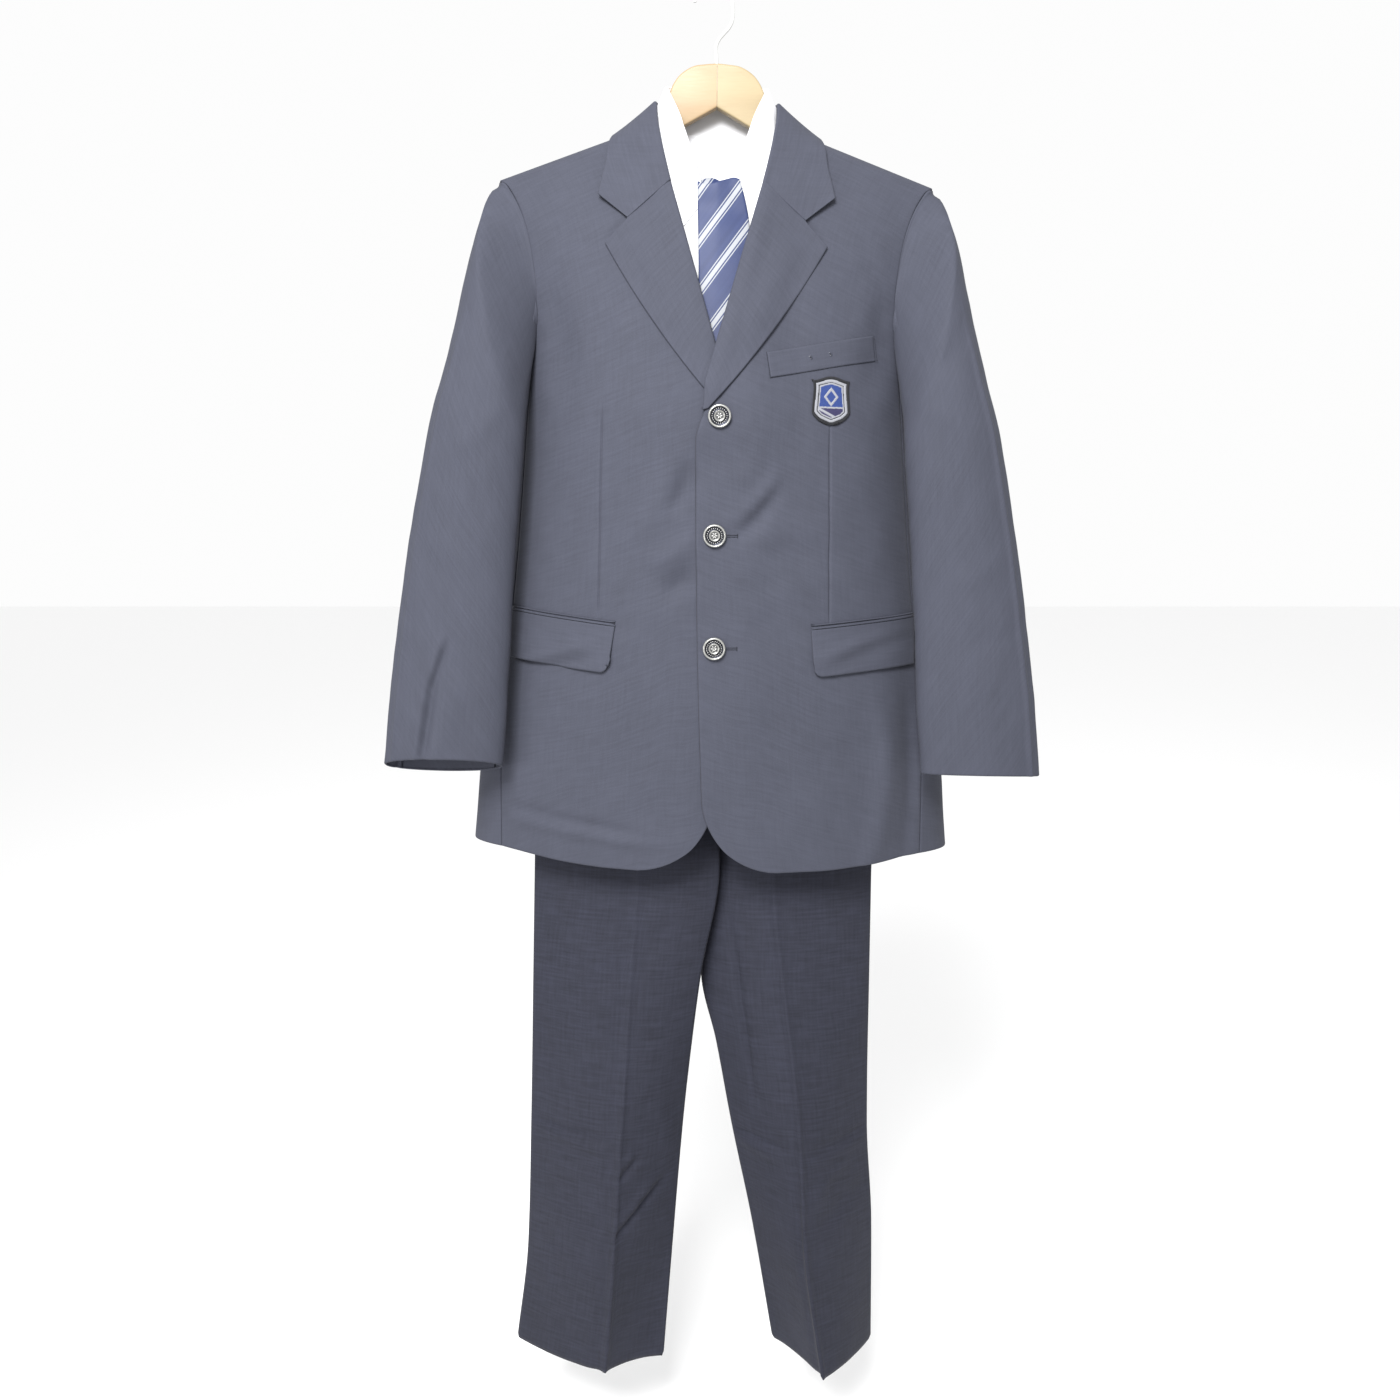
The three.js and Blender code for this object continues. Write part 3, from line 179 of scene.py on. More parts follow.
def patch(u, v, top, bottom, left, right):
    """A panel's x and z between its four edges."""
    zero, one = np.zeros_like(u), np.ones_like(u)
    corners = [top(zero), top(one), bottom(zero), bottom(one)]
    edges = [top(u), bottom(u), left(v), right(v)]
    return [(1 - v) * edges[0][k] + v * edges[1][k] + (1 - u) * edges[2][k] + u * edges[3][k]
            - (1 - u) * (1 - v) * corners[0][k] - u * (1 - v) * corners[1][k]
            - (1 - u) * v * corners[2][k] - u * v * corners[3][k] for k in (0, 1)]


# %% Stations and grids
def stations(count, marks=(), edge=0.0):
    """Even shares from 0 to 1, with each mark hit and extra ones `edge` from both ends."""
    shares = list(np.linspace(0, 1, count + 1)) + list(marks)
    if edge:
        shares += [k * edge for k in (0.12, 0.35, 0.7)] + [1 - k * edge for k in (0.12, 0.35, 0.7)]
    shares = np.unique(np.round(shares, 6))
    keep = [0]
    for i in range(1, len(shares)):
        close = shares[i] - shares[keep[-1]] < 0.25 / count
        wanted = shares[i] in np.round(list(marks) + [1.0], 6) or shares[i] < edge or shares[i] > 1 - edge
        if not close or wanted:
            keep.append(i)
    return shares[keep]


def grid_of(u, v):
    return np.meshgrid(np.asarray(u, float), np.asarray(v, float))


def along_grid(points, axis, ring=False):
    if ring and axis == 1:
        return np.roll(points, -1, 1) - np.roll(points, 1, 1)
    return np.gradient(points, axis=axis)


def facing(points, outward, ring=False):
    """Unit normals of a grid, all turned to the side that `outward` (1 or -1) names."""
    normal = np.cross(along_grid(points, 1, ring), along_grid(points, 0))
    length = np.linalg.norm(normal, axis=2, keepdims=True)
    return outward * normal / np.maximum(length, 1e-9)


CENTRE_X, LEAN, LEAN_ZERO_Z, TILT = 4.2, 0.0075, -120, 0.018


def place(points):
    """The small lean and tilt with which the blazer, the shirt and the tie hang."""
    x, y, z = points[..., 0], points[..., 1], points[..., 2]
    return np.stack([x + CENTRE_X + LEAN * (z - LEAN_ZERO_Z), y, z - TILT * x], axis=-1)


# %% Grid to cloth
def add_piece(name, mesh):
    piece = bpy.data.objects.new(name, mesh)
    scene.collection.objects.link(piece)
    return piece


def cloth(name, points, thickness, outward, material, *, ring=False, leaning=True, flat=None):
    """A cloth piece from a grid of its outer face; a Solidify modifier gives it its wall."""
    rows, columns = points.shape[:2]
    across = np.linalg.norm(np.diff(points, axis=1), axis=2).cumsum(1)
    down = np.linalg.norm(np.diff(points, axis=0), axis=2).cumsum(0)
    across = np.hstack([np.zeros((rows, 1)), across]) - across[:, -1:] / 2
    down = np.vstack([np.zeros((1, columns)), down])
    placed = (place(points) if leaning else points).reshape(-1, 3) * MM
    faces = []
    last = columns if ring else columns - 1
    for j in range(rows - 1):
        for i in range(last):
            k = (i + 1) % columns
            quad = [j * columns + i, j * columns + k, (j + 1) * columns + k, (j + 1) * columns + i]
            faces.append(quad if outward > 0 else quad[::-1])
    mesh = bpy.data.meshes.new(name)
    mesh.from_pydata(placed.tolist(), [], faces)
    uv = mesh.uv_layers.new(name="cloth").data
    flat = np.stack([across, down], axis=-1) if flat is None else flat
    flat = flat.reshape(-1, 2) * MM
    index = np.array([loop.vertex_index for loop in mesh.loops])
    uv.foreach_set("uv", flat[index].ravel())
    mesh.shade_smooth()
    piece = add_piece(name, mesh)
    wall = piece.modifiers.new("wall", "SOLIDIFY")
    wall.thickness = thickness * MM
    wall.offset = -1
    mesh.materials.append(material)
    return piece


def cut_size(points, ring=False):
    """The flat size a piece was cut to: width, length and area in metres."""
    closed = np.concatenate([points, points[:, :1]], axis=1) if ring else points
    widths = np.linalg.norm(np.diff(closed, axis=1), axis=2).sum(1)
    lengths = np.linalg.norm(np.diff(closed, axis=0), axis=2).sum(0)
    a, b = closed[1:, 1:] - closed[:-1, :-1], closed[1:, :-1] - closed[:-1, 1:]
    area = np.linalg.norm(np.cross(a, b), axis=2).sum() / 2
    return widths.max() * MM, lengths.max() * MM, area * MM * MM


NARROWEST = 0.011  # a strip narrower than this is cut this wide and turned in


def hang(piece, node, slot, points, rests_on, ring=False, held="hung"):
    """Attach a sheet of cloth that stands for a node of the frame, hide that node and print the size it was
    cut to.
    """
    width, length, area = cut_size(points, ring)
    length = max(length, NARROWEST)
    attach(piece, "root")
    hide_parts(node)
    area = min(area, 0.999 * width * length)
    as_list(rests_on)
    print(f"{piece.name}: {width * 1000:.0f} x {length * 1000:.0f} mm, {area * 1e4:.0f} cm2")

# %% [markdown]
# ## Cloth finishes
#
# Uniform cloth is a fine twill: close up it has slanting ribs, from a step back it is matt with
# a faint mottle where the dyed fibres mix, some of its threads are thicker than others, and it
# always carries a little lint. One node group makes all of this from the cloth's own UV map,
# which is in metres along the weave, so the ribs turn with each piece. Each cloth then uses it
# with its own sizes.

# %% Node helpers
VECTOR, COLOUR, FLOAT = "NodeSocketVector", "NodeSocketColor", "NodeSocketFloat"


def new_group(name, inputs, outputs):
    tree = bpy.data.node_groups.new(name, "ShaderNodeTree")
    for title, kind, value in inputs:
        socket = tree.interface.new_socket(title, in_out="INPUT", socket_type=kind)
        if value is not None:
            socket.default_value = value
    for title, kind in outputs:
        tree.interface.new_socket(title, in_out="OUTPUT", socket_type=kind)
    return tree, tree.nodes.new("NodeGroupInput"), tree.nodes.new("NodeGroupOutput")


def node(tree, kind, links=(), **settings):
    made = tree.nodes.new(kind)
    for key, value in settings.items():
        setattr(made, key, value)
    for socket, source in dict(links).items():
        if isinstance(source, bpy.types.NodeSocket):
            tree.links.new(source, made.inputs[socket])
        else:
            made.inputs[socket].default_value = source
    return made


def maths(tree, operation, a, b=0.0, c=0.0):
    return node(tree, "ShaderNodeMath", {0: a, 1: b, 2: c}, operation=operation).outputs[0]


def noise(tree, vector, scale, detail):
    return node(tree, "ShaderNodeTexNoise", {"Vector": vector, "Scale": scale, "Detail": detail}).outputs[0]


def drawn_out(tree, vector, scale):
    """The same place with its axes stretched, so that noise there comes out in streaks."""
    return node(tree, "ShaderNodeMapping", {"Vector": vector, "Scale": scale}).outputs[0]


def mixed(tree, share, first, second):
    return node(tree, "ShaderNodeMix", {0: share, 6: first, 7: second}, data_type="RGBA").outputs[2]


def finish(name, recipe, values, bump, on_shader, by="map"):
    """A material that one recipe colours, roughens and raises.

    The recipe runs by the cloth's own "map" or by "place"; `bump` is (strength, depth).
    """
    material = bpy.data.materials.new(name)
    material.use_nodes = True
    tree = material.node_tree
    shader = tree.nodes["Principled BSDF"]
    if by == "map":
        where = node(tree, "ShaderNodeUVMap", uv_map="cloth").outputs[0]
    else:
        where = node(tree, "ShaderNodeTexCoord").outputs["Object"]
    made = node(tree, "ShaderNodeGroup", {"Vector": where, **values}, node_tree=recipe).outputs
    strength, depth_of_bump = bump
    raised = node(tree, "ShaderNodeBump", {
        "Height": made["Height"], "Strength": strength, "Distance": depth_of_bump})
    tree.links.new(made["Color"], shader.inputs["Base Color"])
    if "Roughness" in made:
        tree.links.new(made["Roughness"], shader.inputs["Roughness"])
    tree.links.new(raised.outputs[0], shader.inputs["Normal"])
    for socket, value in on_shader.items():
        shader.inputs[socket].default_value = value
    return material


def from_points(material, attribute, output, socket):
    """Let what is written at each point of a mesh feed one input of the material's recipe."""
    tree = material.node_tree
    written = node(tree, "ShaderNodeAttribute", attribute_name=attribute, attribute_type="GEOMETRY")
    recipe = next(made for made in tree.nodes if made.type == "GROUP")
    tree.links.new(written.outputs[output], recipe.inputs[socket])


# %% The twill group
def build_twill():
    tree, given, result = new_group(
        "twill",
        [("Vector", VECTOR, None), ("Rib", FLOAT, 0.0009), ("Colour", COLOUR, None),
         ("Mottle", FLOAT, 0.12), ("Slub", FLOAT, 0.1), ("Lint", FLOAT, 0.0)],
        [("Color", COLOUR), ("Height", FLOAT), ("Roughness", FLOAT)],
    )
    vector = given.outputs["Vector"]
    spread = node(tree, "ShaderNodeSeparateXYZ", {0: vector})
    x, y = spread.outputs[0], spread.outputs[1]
    turns = maths(tree, "DIVIDE", 2 * math.pi, given.outputs["Rib"])
    slant = maths(tree, "MULTIPLY", maths(tree, "ADD", x, maths(tree, "MULTIPLY", y, 0.8)), turns)
    rib = maths(tree, "SINE", slant)
    yarn = maths(tree, "SINE", maths(tree, "MULTIPLY", y, maths(tree, "MULTIPLY", turns, 2.3)))
    weave = maths(tree, "MULTIPLY_ADD", rib, 0.6, maths(tree, "MULTIPLY", yarn, 0.4))
    fibres = noise(tree, vector, 900.0, 3.0)
    cloud = noise(tree, vector, 38.0, 4.0)
    mix = maths(tree, "MULTIPLY_ADD", fibres, 0.65, maths(tree, "MULTIPLY", cloud, 0.35))
    shade = maths(tree, "MULTIPLY_ADD", maths(tree, "SUBTRACT", mix, 0.5), given.outputs["Mottle"], 1.0)
    ways = [drawn_out(tree, vector, scale) for scale in ((30.0, 360.0, 1.0), (360.0, 30.0, 1.0))]
    threads = [noise(tree, way, 1.0, 2.0) for way in ways]
    slub = maths(tree, "MULTIPLY_ADD", threads[0], 0.62, maths(tree, "MULTIPLY", threads[1], 0.38))
    shade = maths(tree, "MULTIPLY_ADD", maths(tree, "SUBTRACT", slub, 0.5), given.outputs["Slub"], shade)
    wash = noise(tree, vector, 9.0, 2.0)
    shade = maths(tree, "MULTIPLY_ADD", maths(tree, "SUBTRACT", wash, 0.5), 0.22, shade)
    shade = maths(tree, "MULTIPLY_ADD", weave, 0.03, shade)
    grey = node(tree, "ShaderNodeCombineXYZ", {0: shade, 1: shade, 2: shade}).outputs[0]
    dyed = node(tree, "ShaderNodeVectorMath", {0: given.outputs["Colour"], 1: grey}, operation="MULTIPLY")
    specks = node(tree, "ShaderNodeTexVoronoi", {"Vector": vector, "Scale": 34.0, "Randomness": 1.0})
    pick = node(tree, "ShaderNodeTexWhiteNoise", {0: specks.outputs["Position"]})
    chosen = maths(tree, "LESS_THAN", pick.outputs["Value"], given.outputs["Lint"])
    close = maths(tree, "LESS_THAN", specks.outputs["Distance"], 0.028)
    lint = maths(tree, "MULTIPLY", maths(tree, "MULTIPLY", chosen, close), 0.45)
    colour = mixed(tree, lint, dyed.outputs[0], (0.55, 0.56, 0.58, 1))
    height = maths(tree, "MULTIPLY_ADD", fibres, 0.5, maths(tree, "MULTIPLY", weave, 0.5))
    rough = maths(tree, "MULTIPLY_ADD", cloud, 0.12, 0.76)
    tree.links.new(colour, result.inputs["Color"])
    tree.links.new(height, result.inputs["Height"])
    tree.links.new(rough, result.inputs["Roughness"])
    return tree


twill = build_twill()


def cloth_finish(name, colour, *, rib=0.0009, mottle=0.12, slub=0.05, lint=0.0, sheen=0.02,
                 bump=(0.25, 0.00025), gloss=0.25, by="map"):
    return finish(
        name, twill, {"Rib": rib, "Colour": (*colour, 1), "Mottle": mottle, "Slub": slub, "Lint": lint}, bump,
        {"Sheen Weight": sheen, "Sheen Roughness": 0.45, "Specular IOR Level": gloss}, by,
    )


suiting = cloth_finish("navy_suiting", (0.0445, 0.0475, 0.065), mottle=0.5, slub=0.5, lint=0.014)
trouser_cloth = cloth_finish(
    "charcoal_trouser_cloth", (0.0188, 0.0200, 0.0312), mottle=0.6, slub=1.3, lint=0.01)
shirting = cloth_finish(
    "white_shirting", (0.7, 0.7, 0.715), rib=0.0004, mottle=0.03, sheen=0.0, bump=(0.12, 0.00025))
print("cloth finishes ready")

# %% [markdown]
# ## The blazer's body
#
# A blazer on a hanger is a flattened tube: nearly a third of it stands forward of the shoulder
# line, and the back lies close to flat. Sections at a few heights give the half width, how far
# the front and the back stand out, and how square the front is. Everything that lies on the
# blazer is worked out from this one surface, so it all fits.

# %% The body surface
SEAM = 0.05  # the slit left between two pieces that are sewn together
SHOULDER_TIP = (222, -200)
NECK_POINT = (80, -147.5)
NECK_RISE = 0.75
UNDERARM_Z, UNDERARM_SIDE_Z = -375, -362
HEM_FRONT_Z, HEM_SIDE_Z = -903, -890
GORGE, NOTCH = (47.5, -209), (88, -244.5)
LAPEL_TIP = (110.5, -269.5)
ROLL_BEND, BREAK = (-8.7, -404), (-10.5, -432)
CORNER_RADIUS, CORNER_X, CORNER_SHARE = 84, -11, 0.15
SIDE_HEM_X = 225

BODY = table(["z", "half", "front", "back", "side", "square"], [
    (-120, 232, 84, 26, 0, 2.2),
    (-209, 228, 81, 28, -2, 2.2),
    (-303, 214, 87, 32, -5, 2.2),
    (-375, 204, 93, 36, -5, 2.2),
    (-440, 205, 101, 38, -5, 2.2),
    (-554, 213, 103, 38, -4, 2.1),
    (-666, 229, 104, 38, -2, 2.1),
    (-800, 251, 100, 34, 1, 2.0),
    (-903, 260, 96, 30, 5, 1.9),
])
FRONT_ROUND, BACK_SQUARE = 0.625, 2.6
FRONT_SETTLE, BACK_SETTLE, SHOULDER_ROUND = 75, 60, 12
JACKET = {"front": 0, "back": 0, "side": 0, "top": 0}
SHIRT = {"front": 12, "back": 6, "side": 11, "top": 3.8}


def shoulder_z(x):
    away = np.abs(x)
    t = (away - NECK_POINT[0]) / (SHOULDER_TIP[0] - NECK_POINT[0])
    outside = lerp(NECK_POINT[1], SHOULDER_TIP[1], t)
    return np.where(away < NECK_POINT[0], NECK_POINT[1] + (NECK_POINT[0] - away) * NECK_RISE, outside)


def depth(below, full, settle, around):
    t = np.minimum(np.abs(below) / around, 1)
    edge = around * np.sqrt(1 - (1 - t) ** 2)
    return np.sign(below) * (edge + (full - around) * (1 - np.exp(-np.abs(below) / settle)))


def bulge(x, z, layer, square):
    away = np.clip(np.abs(x) / (BODY["half"](z) - layer["side"]), 0, 1)
    return (1 - away**square) ** FRONT_ROUND


def front_y(x, z, layer=JACKET):
    full = (BODY["front"](z) - layer["front"]) * bulge(x, z, layer, BODY["square"](z))
    below = shoulder_z(x) - layer["top"] - z
    return BODY["side"](z) - depth(below, full, FRONT_SETTLE, SHOULDER_ROUND - layer["top"]) - SEAM / 2


def back_y(x, z, layer=JACKET):
    full = (BODY["back"](z) - layer["back"]) * bulge(x, z, layer, BACK_SQUARE)
    below = shoulder_z(x) - layer["top"] - z
    return BODY["side"](z) + depth(below, full, BACK_SETTLE, SHOULDER_ROUND - layer["top"]) + SEAM / 2


def side_point(turn, z, x_front, x_back, layer=JACKET):
    half, square = BODY["half"](z) - layer["side"], BODY["square"](z)
    start = np.arcsin(np.clip(x_front / half, 0, 1) ** (square / 2))
    end = np.pi - np.arcsin(np.clip(x_back / half, 0, 1) ** (BACK_SQUARE / 2))
    angle = lerp(start, end, turn)
    behind = angle > np.pi / 2
    x = half * np.sin(angle) ** np.where(behind, 2 / BACK_SQUARE, 2 / square)
    return x, np.where(behind, back_y(x, z, layer), front_y(x, z, layer))


# %% Seams, hem and edges
ARMHOLE = table(["z", "front", "back"], [
    (-200, 222, 222), (-206, 213, 216), (-245, 194, 204), (-280, 186, 200), (-318, 182, 199),
    (-345, 182, 198), (-362, 186, 198),
])
SIDE_SEAMS = table(["z", "front", "back"], [
    (-362, 186, 198), (-560, 203, 207), (-800, 224, 226), (-890, 225, 228),
])
HEM = table(["x", "z"], [(60, -903), (110, -902.5), (160, -899), (205, -894), (226, -892), (262, -890)])
FRONT_EDGE = table(["z", "x"], [
    (-432, -10.5), (-446, -15.8), (-460, -19.4), (-608, -17.5), (-724, -14.5),
    (HEM_FRONT_Z + CORNER_RADIUS, CORNER_X),
])
AT_UNDERARM, AT_CORNER = 0.42, 0.88
AT_GORGE, AT_BEND, AT_BREAK = 0.14, 0.4537, 0.5
CORNER_IN = {1: 0, -1: 8}


def corner(t):
    angle = lerp(np.pi, 1.5 * np.pi, t)
    x = CORNER_X + CORNER_RADIUS * (1 + np.cos(angle))
    return x, HEM_FRONT_Z + CORNER_RADIUS * (1 + np.sin(angle))


def armhole_then_seam(armhole, seam, v):
    z_arm = lerp(SHOULDER_TIP[1], UNDERARM_SIDE_Z, np.clip(v / AT_UNDERARM, 0, 1))
    z_seam = lerp(UNDERARM_SIDE_Z, HEM["z"](SIDE_HEM_X), np.clip((v - AT_UNDERARM) / (1 - AT_UNDERARM), 0, 1))
    over = v < AT_UNDERARM
    return [np.where(over, armhole(z_arm), seam(z_seam)), np.where(over, z_arm, z_seam)]


def front_outline(u, v, sign):
    inward = CORNER_IN[sign]

    def inner(v):
        x, z = polyline(v, [
            (0, *NECK_POINT), (AT_GORGE, *GORGE), (AT_BEND, *ROLL_BEND), (AT_BREAK, *BREAK), (1, *BREAK)])
        share = np.clip((v - AT_BREAK) / (AT_CORNER - AT_BREAK), 0, 1)
        edge_z = lerp(BREAK[1], HEM_FRONT_Z + CORNER_RADIUS, share)
        edge_x = FRONT_EDGE["x"](edge_z) + inward * smooth(share * 2 - 1)
        corner_x, corner_z = corner(np.clip(0.5 * (v - AT_CORNER) / (1 - AT_CORNER), 0, 1))
        x = np.where(v > AT_BREAK, edge_x, x)
        z = np.where(v > AT_BREAK, edge_z, z)
        return [np.where(v > AT_CORNER, corner_x + inward, x), np.where(v > AT_CORNER, corner_z, z)]

    def hem(u):
        corner_x, corner_z = corner(0.5 + 0.5 * np.clip(u / CORNER_SHARE, 0, 1))
        along = np.clip((u - CORNER_SHARE) / (1 - CORNER_SHARE), 0, 1)
        x = lerp(CORNER_X + CORNER_RADIUS + inward, SIDE_HEM_X, along)
        in_corner = u < CORNER_SHARE
        return [np.where(in_corner, corner_x + inward, x), np.where(in_corner, corner_z, HEM["z"](x))]

    def top(u):
        x = lerp(NECK_POINT[0], SHOULDER_TIP[0], u)
        return [x, shoulder_z(x)]

    return patch(u, v, top, hem, inner, lambda v: armhole_then_seam(ARMHOLE["front"], SIDE_SEAMS["front"], v))


def overlap_lift(sign, x, z):
    """How far the left front stands out where it lies over the right one and its lapel."""
    if sign < 0:
        return 0 * x
    over_lapel = smooth((-290 - z) / 60) * (1 - smooth((-448 - z) / 40))
    return (2.6 + 4.6 * over_lapel) * (1 - smooth((x - 28) / 60))


def front_surface(sign, x, z, out=0):
    return np.stack([sign * x, front_y(x, z) - overlap_lift(sign, x, z) - out, z], axis=-1)


# %% [markdown]
# ## Creases and rounded edges
#
# Hung cloth isn't smooth: it has soft folds that run from what pulls on it, such as a button,
# an armhole or the weight of a pocket. A cloth simulation would settle this tube into folds of
# its own choosing, so each fold is laid one by one instead, as a line with a width and a height.
# A plus height stands out and a minus one sinks in. The same tool rounds the edges over.

# %% Folds
def near_line(x, z, fold):
    """How strongly a fold acts at each point: 1 on its line, fading across it and at its ends."""
    x0, z0, x1, z1, width = fold[:5]
    dx, dz = x1 - x0, z1 - z0
    length = math.hypot(dx, dz)
    share = ((x - x0) * dx + (z - z0) * dz) / length**2
    across = ((x - x0) * dz - (z - z0) * dx) / length
    bend = fold[6] if len(fold) > 6 else 0.06
    across = across + bend * length * (4 * share * (1 - share))
    fade = smooth(1.0 - np.abs(share - 0.5) * 2 + 0.35) * (np.abs(share - 0.5) < 0.68)
    return np.exp(-((across / width) ** 2)) * fade


def folds(x, z, rows):
    """Each row is (from x, from z, to x, to z, half width, height) and may end in a bend."""
    total = 0 * x
    for row in rows:
        total = total + row[5] * near_line(x, z, row)
    return total


def ripple(x, z, seed, size=90):
    """A slow unevenness of a millimetre or less, the same on every run."""
    rng = np.random.default_rng(seed)
    total = 0 * x
    for _ in range(7):
        angle, length, start = rng.uniform(0, np.pi), rng.uniform(0.6, 1.8) * size, rng.uniform(0, 2 * np.pi)
        total = total + np.sin((x * np.cos(angle) + z * np.sin(angle)) * 2 * np.pi / length + start)
    return total / 7


def crinkle(x, z, seed):
    """The small unevenness that pressing leaves, under half a millimetre deep."""
    return 0.4 * ripple(x, z, seed, 30)


def rounded(distance, radius):
    """How far cloth turns in at this distance from its edge."""
    t = np.clip(1 - distance / radius, 0, 1)
    return radius * (1 - np.sqrt(1 - t * t))


def span(points, axis):
    """Distance along a grid from its first line and from its last."""
    step = np.linalg.norm(np.diff(points, axis=axis), axis=2)
    run = np.cumsum(step, axis=axis)
    pad = np.zeros_like(run[:, :1] if axis == 1 else run[:1])
    run = np.concatenate([pad, run], axis=axis)
    total = run[:, -1:] if axis == 1 else run[-1:]
    return run, total - run


def near_seams(points, left=20, right=20):
    """0 at the sewn edges and 1 away from them, so that neighbours meet."""
    from_left, from_right = span(points, 1)
    return smooth(from_left / left if left else 1) * smooth(from_right / right if right else 1)


def turned_in(points, radii):
    """How far a grid turns in beside its left, right, top and bottom edges; the most one counts."""
    left, right = span(points, 1)
    top, bottom = span(points, 0)
    most = np.zeros(points.shape[:2])
    for distance, radius in zip((left, right, top, bottom), radii):
        if radius:
            most = np.maximum(most, rounded(distance, radius))
    return most


# %% Rolls
def roll_start(points, outward, radius, turn, axis=1, ring=False):
    """Put an arc before a grid's first line, so that the cloth there comes round from behind."""
    normal = facing(points, outward, ring)
    along = along_grid(points, axis)
    along /= np.linalg.norm(along, axis=2, keepdims=True)
    first, out, onward = (np.take(a, [0], axis=axis) for a in (points, normal, along))
    middle = first - out * radius
    angles = np.radians(np.linspace(turn, 0, 9)[:-1])
    arc = [middle + radius * (out * np.cos(a) - onward * np.sin(a)) for a in angles]
    return np.concatenate([*arc, points], axis=axis)

# %% [markdown]
# ## Fronts, sides and back
#
# The fronts take most folds: the cloth is pulled towards the middle button, the hem hangs in a
# soft box at the wearer's left, and the sleeves press hollows down both sides. The side panels
# and the back get quieter folds of the same kind. Edges that are sewn turn in a little, and
# open edges, which are two cloths thick, turn in more.

# %% Fold tables
BODY_FOLDS = [
    # from x, from z, to x, to z, half width, height and, for some, how much it bends
    (64, -490, 14, -542, 8, 3.4),
    (62, -510, 20, -556, 7, -4.2),
    (48, -470, 20, -500, 12, 1.6),
    (-24, -484, -42, -530, 10, -5.5),
    (-44, -486, -74, -560, 15, 2.4),
    (-18, -556, -66, -584, 10, 3.8),
    (-20, -590, -52, -612, 10, -5.6),
    (34, -596, 66, -640, 15, -1.6),
    (30, -560, 120, -548, 11, 1.4),
    (40, -575, 130, -580, 13, -1.0),
    (18, -640, 90, -610, 12, 1.2),
    (-30, -640, -80, -630, 14, 1.0),
    (-60, -700, -40, -850, 26, 1.4),
    (60, -700, 46, -850, 24, -1.6),
    (-90, -320, -120, -420, 30, 1.5),
    (95, -300, 120, -400, 30, 1.3),
    (170, -300, 150, -420, 16, -2.0),
    (-170, -300, -152, -430, 16, -2.2),
    (150, -300, 128, -380, 14, 1.2),
    (-150, -310, -130, -400, 14, 1.2),
    (174, -720, 168, -905, 13, 5.0),
    (204, -700, 206, -900, 13, -5.0),
    (-150, -720, -170, -900, 26, 1.5),
    (-120, -870, 0, -880, 13, 1.4),
    # the hollows above the lapels' top edges
    (88, -243, 111, -268, 3.4, -3.0, 0),
    (-88, -243, -111, -268, 3.4, -3.0, 0),
    # a pressed line above the hem at the wearer's right
    (-240, -842, -66, -864, 5, -2.6, 0),
    (-240, -853, -66, -875, 6, 2.6, 0),
]
BACK_FOLDS = [
    (-150, -215, -90, -330, 18, 2.0),
    (150, -220, 95, -340, 18, 2.0),
    (-60, -175, 70, -182, 14, 1.6),
    (-175, -400, -120, -560, 20, -2.2),
    (178, -420, 130, -600, 20, -2.0),
    (-60, -420, -30, -600, 24, 1.6),
    (80, -480, 50, -700, 26, 1.6),
    (-110, -640, -120, -880, 28, 2.0),
    (120, -700, 110, -885, 26, -2.0),
    (-30, -700, -26, -880, 22, -1.6),
]
SIDE_FOLDS = [(0, -420, 4, -560, 12, 1.5), (-6, -600, 2, -860, 14, -1.6)]

GRID = 4.6  # spacing of the cloth's points


def rows_of(length, marks=(), edge=0.006):
    return stations(int(length / GRID), marks, edge)


# %% Darts
DART_SHARE, DART_DEPTH, DART_WIDTH = 0.6, 1.6, 0.8
DARTS = {1: ((114.2, -436), (117.7, -634)), -1: ((111.9, -422), (116.4, -631))}


def dart_x(sign, z):
    (x0, z0), (x1, z1) = DARTS[sign]
    return lerp(x0, x1, np.clip((z - z0) / (z1 - z0), -0.3, 1.3))


def along_dart(u, v, sign):
    """Slide a front's columns sideways so that one of them runs down the dart."""
    rows = v[:, 0]
    fine_u, fine_v = grid_of(np.linspace(0, 1, 201), rows)
    x, z = front_outline(fine_u, fine_v, sign)
    found = np.array([np.interp(0, x[j] - dart_x(sign, z[j]), fine_u[j]) for j in range(len(rows))])
    shift = (found - DART_SHARE) * smooth((rows - 0.3) / 0.12) * smooth((0.9 - rows) / 0.1)
    slope = np.where(u < DART_SHARE, u / DART_SHARE, (1 - u) / (1 - DART_SHARE))
    return u + shift[:, None] * slope


def dart_depth(sign, x, z):
    (_, top), (_, foot) = DARTS[sign]
    reach = smooth((top - z) / 25) * smooth((z - foot) / 4 + 1)
    return reach * DART_DEPTH * np.exp(-(((x - dart_x(sign, z)) / DART_WIDTH) ** 2))


# %% Fronts, sides and back
SUITING_WALL = 2.0


def front_fold_lift(sign, x, z):
    return folds(sign * x, z, BODY_FOLDS) + 0.7 * ripple(sign * x, z, 11 + sign)


